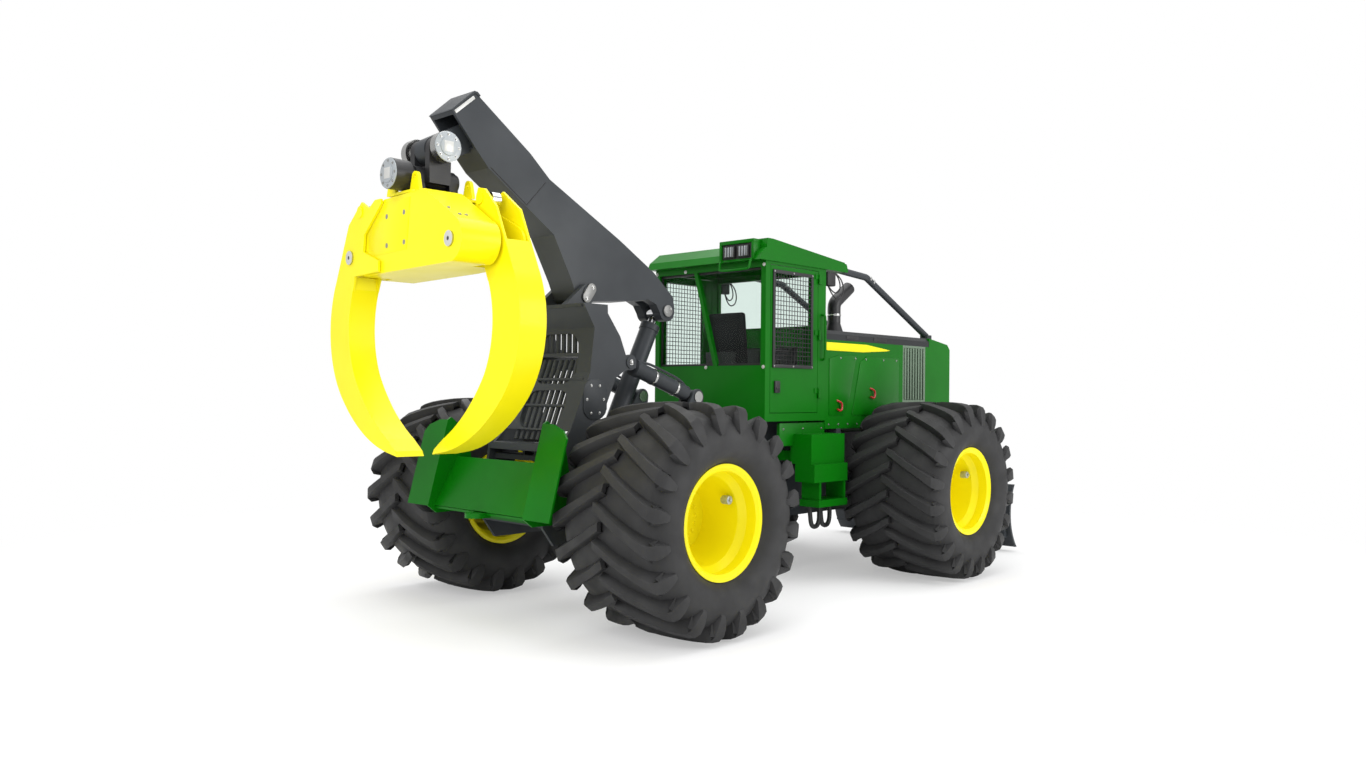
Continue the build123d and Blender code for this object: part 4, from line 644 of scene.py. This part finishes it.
# ---- snubbers -------------------------------------------------------------------------------------------
# Friction brakes on the tip pin and the swing pin stop the grapple swaying. Each housing has a bright
# machined cover with a raised ring and eight bolts.
def snubber_cover(name, face, out, body):
    """A machined cover with a ring of bolts on the end of a snubber housing."""
    out = Vector(out)
    side = out.cross(Vector((0, 0, 1))).normalized()
    up = side.cross(out).normalized()
    rings = [round_bar(face, face + out * 0.008, 0.118, 48, edge=0.002),
             round_bar(face + out * 0.006, face + out * 0.016, 0.072, 48, edge=0.003)]
    fasten(name, rings, body, silver_paint)
    # a square blank riveted to the middle of the cover
    blank = plate([face + out * 0.015 + side * 0.042 * across + up * 0.042 * high
                   for across, high in ((-1, -1), (1, -1), (1, 1), (-1, 1))], out * 0.003, edge=0.001)
    fasten(f"{name}_blank", [blank], body, zinc_and_highlight)
    ring = [face + out * 0.008 + side * 0.097 * cos(turn) + up * 0.097 * sin(turn)
            for turn in (2 * pi * number / 8 for number in range(8))]
    bolt_heads(f"{name}_bolts", ring, out, 0.009, body, bare_steel)


for side, hand in SIDES:
    snubber_cover(f"{hand}_tip_snubber", at(-1.452, side * 0.240, 3.818), (0, side, 0), "tip_pin")
snubber_cover("swing_snubber", at(GRAPPLE_STATION - 0.181 - 0.195, 0, 3.585), (-1, 0, 0), "swivel_yoke")


# ---- guards on the doors --------------------------------------------------------------------------------
# Each door's window has a bolted guard of crossed black rods in a flat frame, which keeps branches out. A
# latch box stands below it at the rear.
def slab(low, high, edge=0.0):
    """A rectangular piece between two corners, with broken edges."""
    low, high = Vector(low), Vector(high)
    let_go()
    bpy.ops.mesh.primitive_cube_add(size=1, location=(low + high) / 2, scale=high - low)
    piece = settle(bpy.context.object)
    return soften(piece, edge) if edge else piece


GUARD_X = (1.945, 2.600)
GUARD_Z = (2.180, 3.147)
GUARD_FRAME = 0.034         # width of the flat frame
GUARD_DEPTH = 0.014
ROD_PITCH = 0.047
DOOR_SKIN = 0.758           # middle of the cab to the outside of its doors

for side, hand in SIDES:
    skin = side * DOOR_SKIN
    near, far = sorted((skin, skin + side * GUARD_DEPTH))
    x0, x1 = (at(x, 0, 0).x for x in GUARD_X)
    z0, z1 = GUARD_Z
    rim = [slab((x0, near, z0), (x1, far, z0 + GUARD_FRAME), 0.002),
           slab((x0, near, z1 - GUARD_FRAME), (x1, far, z1), 0.002),
           slab((x0, near, z0 + GUARD_FRAME), (x0 + GUARD_FRAME, far, z1 - GUARD_FRAME), 0.002),
           slab((x1 - GUARD_FRAME, near, z0 + GUARD_FRAME), (x1, far, z1 - GUARD_FRAME), 0.002)]
    middle = (near + far) / 2
    rods = []
    wide, high = x1 - x0 - 2 * GUARD_FRAME, z1 - z0 - 2 * GUARD_FRAME
    columns, rows = int(wide / ROD_PITCH), int(high / ROD_PITCH)
    for number in range(1, columns + 1):
        x = x0 + GUARD_FRAME + number * wide / (columns + 1)
        rods.append(round_bar((x, middle, z0 + 0.02), (x, middle, z1 - 0.02), 0.0035, 8))
    for number in range(1, rows + 1):
        z = z0 + GUARD_FRAME + number * high / (rows + 1)
        rods.append(round_bar((x0 + 0.02, middle, z), (x1 - 0.02, middle, z), 0.0035, 8))
    fasten(f"{hand}_door_guard", rim + rods, f"{hand}_door", black_plastic)
    corners = [at(x, skin + side * GUARD_DEPTH, z) for x in (1.962, 2.27, 2.583) for z in (2.197, 3.130)]
    bolt_heads(f"{hand}_door_guard_bolts", corners, (0, side, 0), 0.008, f"{hand}_door", bare_steel)
    box_near, box_far = sorted((skin, skin + side * 0.022))
    lever_near, lever_far = sorted((skin + side * 0.020, skin + side * 0.028))
    latch = [slab(at(1.975, box_near, 1.93), at(2.055, box_far, 2.05), 0.006),
             slab(at(1.990, lever_near, 1.965), at(2.040, lever_far, 1.99), 0.003)]
    fasten(f"{hand}_door_latch", latch, f"{hand}_door", black_plastic)


# ---- cab trim -------------------------------------------------------------------------------------------
# Black rubber seals and bright bolts round the rear window, two work lamps over a steel loop on the roof's
# rear edge, and on each side a grab rail, a mirror with its wire loops, hoses under the steps and a skirt.
seal_x = at(1.8845, 0, 0).x
seals = [slab((seal_x - 0.02, -0.698, 2.200), (seal_x, 0.698, 2.222), 0.003),
         slab((seal_x - 0.02, -0.698, 3.143), (seal_x, 0.698, 3.165), 0.003),
         slab((seal_x - 0.02, -0.698, 2.222), (seal_x, -0.676, 3.143), 0.003),
         slab((seal_x - 0.02, 0.676, 2.222), (seal_x, 0.698, 3.143), 0.003)]
fasten("rear_window_seals", seals, "front_frame", black_plastic)

CAB_REAR = 1.838
bolt_heads("rear_window_bolts",
           [at(CAB_REAR, y, 2.185) for y in (-0.735, 0.02, 0.735)]
           + [at(CAB_REAR, y, 3.185) for y in (-0.735, 0.32, 0.735)],
           (-1, 0, 0), 0.015, "front_frame", zinc_and_highlight)

LAMPS = (-0.385, -0.565)    # distance of each work lamp from the middle
housing = [slab(at(1.716, -0.70, 3.395), at(1.95, -0.255, 3.432), 0.006),
           slab(at(1.716, -0.70, 3.232), at(1.95, -0.67, 3.40), 0.004),
           slab(at(1.716, -0.285, 3.232), at(1.95, -0.255, 3.40), 0.004)]
fasten("rear_lamp_housing", housing, "front_frame", green_paint)
backing = [slab(at(1.735, -0.672, 3.236), at(1.80, -0.283, 3.398), 0.003)]
for y in LAMPS:
    backing.append(slab(at(1.708, y - 0.074, 3.256), at(1.74, y + 0.074, 3.380), 0.012))
    for number in range(4):
        x, out = at(1.700, 0, 0).x, y - 0.051 + 0.034 * number
        backing.append(round_bar((x, out, 3.262), (x, out, 3.374), 0.004, 8))
fasten("rear_lamp_bodies", backing, "front_frame", black_plastic)
lenses = [slab(at(1.704, y - 0.060, 3.270), at(1.710, y + 0.060, 3.366), 0.002) for y in LAMPS]
fasten("rear_lamp_lenses", lenses, "front_frame", silver_paint)
loop = [at(1.76, -0.27, 3.245), at(1.71, -0.272, 3.235), at(1.700, -0.275, 3.15), at(1.700, -0.30, 3.135),
        at(1.700, -0.63, 3.135), at(1.700, -0.66, 3.15), at(1.71, -0.668, 3.235), at(1.76, -0.67, 3.245)]
fasten("lamp_loop", [pipe(loop, 0.012)], "front_frame", green_paint)

SKIRT_SKIN = 0.738          # middle of the machine to the outside of the skirt
for side, hand in SIDES:
    rail = [at(2.765, side * y, z) for y, z in ((DOOR_SKIN, 2.28), (0.80, 2.28), (0.805, 2.34), (0.805, 2.69),
                                                (0.80, 2.745), (DOOR_SKIN, 2.745))]
    fasten(f"{hand}_grab_rail", [pipe(rail, 0.013)], "front_frame", green_paint)
    near, far = sorted((side * 0.70, side * 0.775))
    mirror = [slab(at(2.85, near, 3.06), at(2.99, far, 3.205), 0.012)]
    for droop in (0.0, 0.06):
        wire = ((2.95, 0.72, 3.20), (3.02, 0.74, 3.22), (3.10 + droop, 0.75, 3.12),
                (3.10 + droop, 0.75, 3.02 - droop), (3.00, 0.74, 2.98 - droop), (2.92, 0.72, 3.07))
        mirror.append(pipe([at(x, side * y, z) for x, y, z in wire], 0.007))
    fasten(f"{hand}_mirror", mirror, "front_frame", black_plastic)
    # two hydraulic hoses hang in loops below the steps
    hang = ((0.0, 0.86, 0.82), (0.0, 0.87, 0.70), (0.02, 0.87, 0.60), (0.08, 0.87, 0.575),
            (0.14, 0.87, 0.60), (0.16, 0.87, 0.70), (0.16, 0.86, 0.82))
    hoses = [pipe([at(start + x, side * y, z) for x, y, z in hang], 0.024) for start in (2.44, 2.62)]
    fasten(f"{hand}_step_hoses", hoses, "front_frame", black_plastic)
    # a skirt panel closes the side between the cab's floor and the steps
    near, far = sorted((side * 0.700, side * SKIRT_SKIN))
    skirt = [slab(at(2.10, near, 1.40), at(2.86, far, 1.63), 0.006)]
    fasten(f"{hand}_skirt_panel", skirt, "front_frame", green_paint)
    bolt_heads(f"{hand}_skirt_bolts", [at(x, side * SKIRT_SKIN, 1.57) for x in (2.16, 2.48, 2.80)],
               (0, side, 0), 0.010, "front_frame", bare_steel)


# ---- hood trim ------------------------------------------------------------------------------------------
# The green side panels carry raised stiffening fields, bolts, red tie-down hooks and a plain yellow stripe
# that tapers to a point. Dark vents stand in the band above, and the grille has upright slats.
signal_red = coated("signal_red", (0.42, 0.012, 0.01), clear=0.2)
HOOD_SKIN = 0.745           # middle of the hood to the outside of its panels
STRIPE = ((2.87, 2.385), (2.87, 2.470), (3.62, 2.470), (4.10, 2.425), (4.02, 2.412), (3.55, 2.385))
FIELDS = (((2.92, 1.70), (2.92, 2.30), (3.10, 2.34), (3.42, 2.34), (3.30, 1.90), (3.18, 1.70)),
          ((3.34, 1.70), (3.50, 2.28), (3.62, 2.34), (4.28, 2.34), (4.28, 1.82), (4.10, 1.70)))
FIELD_RISE = 0.008
# a hook's line: ahead of its middle, out from the panel, up from its middle
HOOK = ((-0.02, 0.0, 0.06), (-0.02, 0.03, 0.05), (0.035, 0.035, 0.03), (0.035, 0.035, -0.035),
        (0.0, 0.035, -0.055), (-0.04, 0.03, -0.035))
SLATS = 8
SLAT_PITCH = 0.0585

for side, hand in SIDES:
    skin = side * HOOD_SKIN
    stripe = plate([at(x, skin, z) for x, z in STRIPE], Vector((0, side * 0.003, 0)), edge=0.0008)
    fasten(f"{hand}_hood_stripe", [stripe], "front_frame", yellow_paint)
    near, far = sorted((skin, skin + side * 0.004))
    vents = [slab(at(x0, near, 2.512), at(x1, far, 2.556), 0.0015) for x0, x1 in ((3.23, 3.46), (3.76, 4.03))]
    fasten(f"{hand}_hood_vents", vents, "front_frame", black_plastic)
    fields = [plate([at(x, skin, z) for x, z in outline], Vector((0, side * FIELD_RISE, 0)), edge=0.006)
              for outline in FIELDS]
    fasten(f"{hand}_hood_fields", fields, "front_frame", green_paint)
    bolt_heads(f"{hand}_hood_bolts", [at(2.92 + 0.175 * number, skin, 1.605) for number in range(9)],
               (0, side, 0), 0.010, "front_frame", bare_steel)
    bolt_heads(f"{hand}_stripe_bolts",
               [at(x, skin + side * FIELD_RISE, 2.31) for x in (3.12, 3.40, 3.60, 3.95, 4.22)],
               (0, side, 0), 0.009, "front_frame", bare_steel)
    near, far = sorted((skin, skin + side * 0.014))
    slats = [slab(at(4.402 + SLAT_PITCH * number, near, 1.870), at(4.430 + SLAT_PITCH * number, far, 2.465),
                  0.004) for number in range(SLATS)]
    fasten(f"{hand}_grille_slats", slats, "front_frame", grille_paint)
    hooks = [pipe([at(x + ahead, skin + side * out, z + up) for ahead, out, up in HOOK], 0.011)
             for x, z in ((3.08, 1.80), (3.71, 1.935))]
    fasten(f"{hand}_hood_hooks", hooks, "front_frame", signal_red)


# ---- arch fittings --------------------------------------------------------------------------------------
# Between the arch's side plates runs a screen of upright steel rods that keeps the load off the winch, and
# a six-bolt cover closes each side plate.
SCREEN_ROD = 0.022
SCREEN = [-0.304 + 0.076 * number for number in range(9)]      # the rods' places across the arch
ARCH_SKIN = 0.460           # middle of the arch to the outside of its plates
COVER = 0.008               # thickness of a cover

rods = [pipe([at(-0.352, y, 1.500), at(-0.240, y, 1.80), at(-0.085, y, 2.20)], SCREEN_ROD) for y in SCREEN]
rods += [round_bar(at(-0.065, y, 2.262), at(-0.065, y, 2.47), SCREEN_ROD) for y in SCREEN]
rods += [round_bar(at(x, -0.40, z), at(x, 0.40, z), 0.014, 20) for x, z in ((-0.262, 1.80), (-0.175, 2.03))]
fasten("arch_screen", rods, "arch", slate_paint)
for side, hand in SIDES:
    skin = side * ARCH_SKIN
    outline = [at(-0.10 + 0.115 * cos(turn) + (0.02 if cos(turn) > 0 else -0.02), skin,
                  1.86 + 0.115 * sin(turn) + (0.06 if sin(turn) > 0 else -0.06))
               for turn in (2 * pi * (number + 0.5) / 16 for number in range(16))]
    cover = plate(outline, Vector((0, side * COVER, 0)), edge=0.002)
    fasten(f"{hand}_arch_cover", [cover], "arch", slate_paint)
    bolt_heads(f"{hand}_arch_cover_bolts",
               [at(-0.10 + 0.095 * cos(turn), skin + side * COVER, 1.86 + 0.135 * sin(turn))
                for turn in (2 * pi * number / 6 for number in range(6))],
               (0, side, 0), 0.010, "arch", bare_steel)


# ---- boom trim ------------------------------------------------------------------------------------------
# The boom's open tip has a light strip along each side's end edge, a painted highlight where the plate's edge
# catches the light. A thick welded cap covers its end, and a seam crosses each side where the box section
# changes; the seam is a thin black bead, painted shade standing for its groove. Its front pin has a bright
# disc, and its pivot an oval keeper plate.
worn_steel = coated("worn_steel", (0.26, 0.26, 0.255), metal=0.4, Grain_Size=500.0,
                    Gloss_Low=0.34, Gloss_High=0.48)
BOOM_SIDE = 0.160           # middle of the boom to its side
CAP_SIDE = 0.168
PIN_DISC = 0.020            # how far the front pin's disc stands out
BOOM_FRONT_PIN = (1.078, 2.707)
BOOM_PIVOT = (0.030, 2.795)
PIVOT_END = 0.225           # middle of the boom to the end of its pivot pin
KEEPER = 0.008              # thickness of the keeper plate
ARCH_CYLINDER_EYE = (0.318, 2.188)

cap_section = ((-1.372, 4.134), (-1.362, 4.152), (-1.162, 4.332), (-1.128, 4.330), (-1.100, 4.306),
               (-1.112, 4.290), (-1.140, 4.312), (-1.158, 4.312))
cap = plate([at(x, -CAP_SIDE, z) for x, z in cap_section], Vector((0, 2 * CAP_SIDE, 0)), edge=0.003)
fasten("boom_cap", [cap], "boom", slate_paint)
for side, hand in SIDES:
    skin = side * BOOM_SIDE
    # a light strip on each side's end edge: painted highlight where the plate's edge catches the light
    strip = plate([at(x, skin, z) for x, z in ((-1.345, 4.138), (-1.168, 4.291), (-1.150, 4.270),
                                               (-1.327, 4.117))], Vector((0, side * 0.004, 0)), edge=0.001)
    fasten(f"{hand}_boom_edge_highlight", [strip], "boom", zinc_and_highlight)
    # the seam is real, but its black bead is painted shade standing for the groove
    seam = [round_bar(at(*start), at(*end), 0.004, 8) for start, end in (
        ((-0.42, skin, 3.71), (-0.62, skin, 3.49)), ((-0.62, skin, 3.49), (-0.99, skin, 3.745)))]
    fasten(f"{hand}_boom_seam_shade", seam, "boom", black_casting)
    pin_x, pin_z = BOOM_FRONT_PIN
    disc = round_bar(at(pin_x, skin, pin_z), at(pin_x, skin + side * PIN_DISC, pin_z), 0.056, 40, edge=0.002)
    fasten(f"{hand}_boom_front_pin", [disc], "boom", worn_steel)
    bolt_heads(f"{hand}_boom_front_pin_bolts",
               [at(pin_x + x, skin + side * PIN_DISC, pin_z + 0.6 * x) for x in (-0.03, 0.03)],
               (0, side, 0), 0.010, "boom", bare_steel)
    # the oval keeper of the pivot pin leans forward
    lean = Vector((cos(radians(55)), 0, sin(radians(55))))
    over = Vector((-lean.z, 0, lean.x))
    middle = at(BOOM_PIVOT[0], side * PIVOT_END, BOOM_PIVOT[1])
    oval = []
    for turn in (2 * pi * (number + 0.5) / 24 for number in range(24)):
        straight = 0.045 if cos(turn) > 0 else -0.045
        oval.append(middle + lean * (0.050 * cos(turn) + straight) + over * 0.050 * sin(turn))
    keeper = plate(oval, Vector((0, side * KEEPER, 0)), edge=0.002)
    fasten(f"{hand}_boom_pivot_keeper", [keeper], "arch", worn_steel)
    bolt_heads(f"{hand}_boom_pivot_bolts",
               [middle + lean * reach + Vector((0, side * KEEPER, 0)) for reach in (-0.062, 0.062)],
               (0, side, 0), 0.013, "arch", bare_steel)
    eye_x, eye_z = ARCH_CYLINDER_EYE
    bolt_heads(f"{hand}_arch_cylinder_pin_bolt", [at(eye_x, side * 0.470, eye_z)], (0, side, 0), 0.020,
               "arch", bare_steel)


# ---- guard tubes and exhaust ----------------------------------------------------------------------------
# Bright worm-drive clamps hold the limb risers' rubber sleeves and the exhaust's joint.
clamps = []
for side in (-1, 1):
    start, end = at(3.82, side * 0.6, 3.25), at(5.13, side * 0.6, 2.64)
    way = (end - start).normalized()
    for share in (0.04, 0.09):
        place = start + (end - start) * share
        clamps.append(round_bar(place - way * 0.012, place + way * 0.012, 0.041, 28, edge=0.002))
clamps.append(round_bar(at(3.42, -0.45, 2.785), at(3.42, -0.45, 2.812), 0.077, 36, edge=0.003))
fasten("riser_clamps", clamps, "front_frame", bare_steel)


# ---- seat -----------------------------------------------------------------------------------------------
# A sprung seat with a padded cushion and back under woven cloth.
cushion_cloth = coated("seat_cloth", (0.02, 0.02, 0.022), shine=0.2, Shade=0.7, Grain_Size=500.0,
                       Grain_Depth=0.12, Gloss_Low=0.8, Gloss_High=0.95)
seat_low, seat_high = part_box("seat_cushions")
seat_foot = Vector(((seat_low.x + seat_high.x) / 2, 0, seat_low.z))
seat_pads = []
for size, place, lean in (((0.23, 0.24, 0.06), (0.045, 0, 0.06), 0.0),
                          ((0.06, 0.23, 0.33), (-0.15, 0, 0.46), -6.0)):
    let_go()
    bpy.ops.mesh.primitive_cube_add(size=2, location=Vector(place) + seat_foot,
                                    rotation=(0, radians(lean), 0), scale=size)
    pad = settle(bpy.context.object)
    soften(pad, 0.035, rounds=4)
    seat_pads.append(pad)
seat_cover = smooth(weld("seat_pads", seat_pads))
fit(seat_cover, "front_frame", cushion_cloth)
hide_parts("seat_cushions")
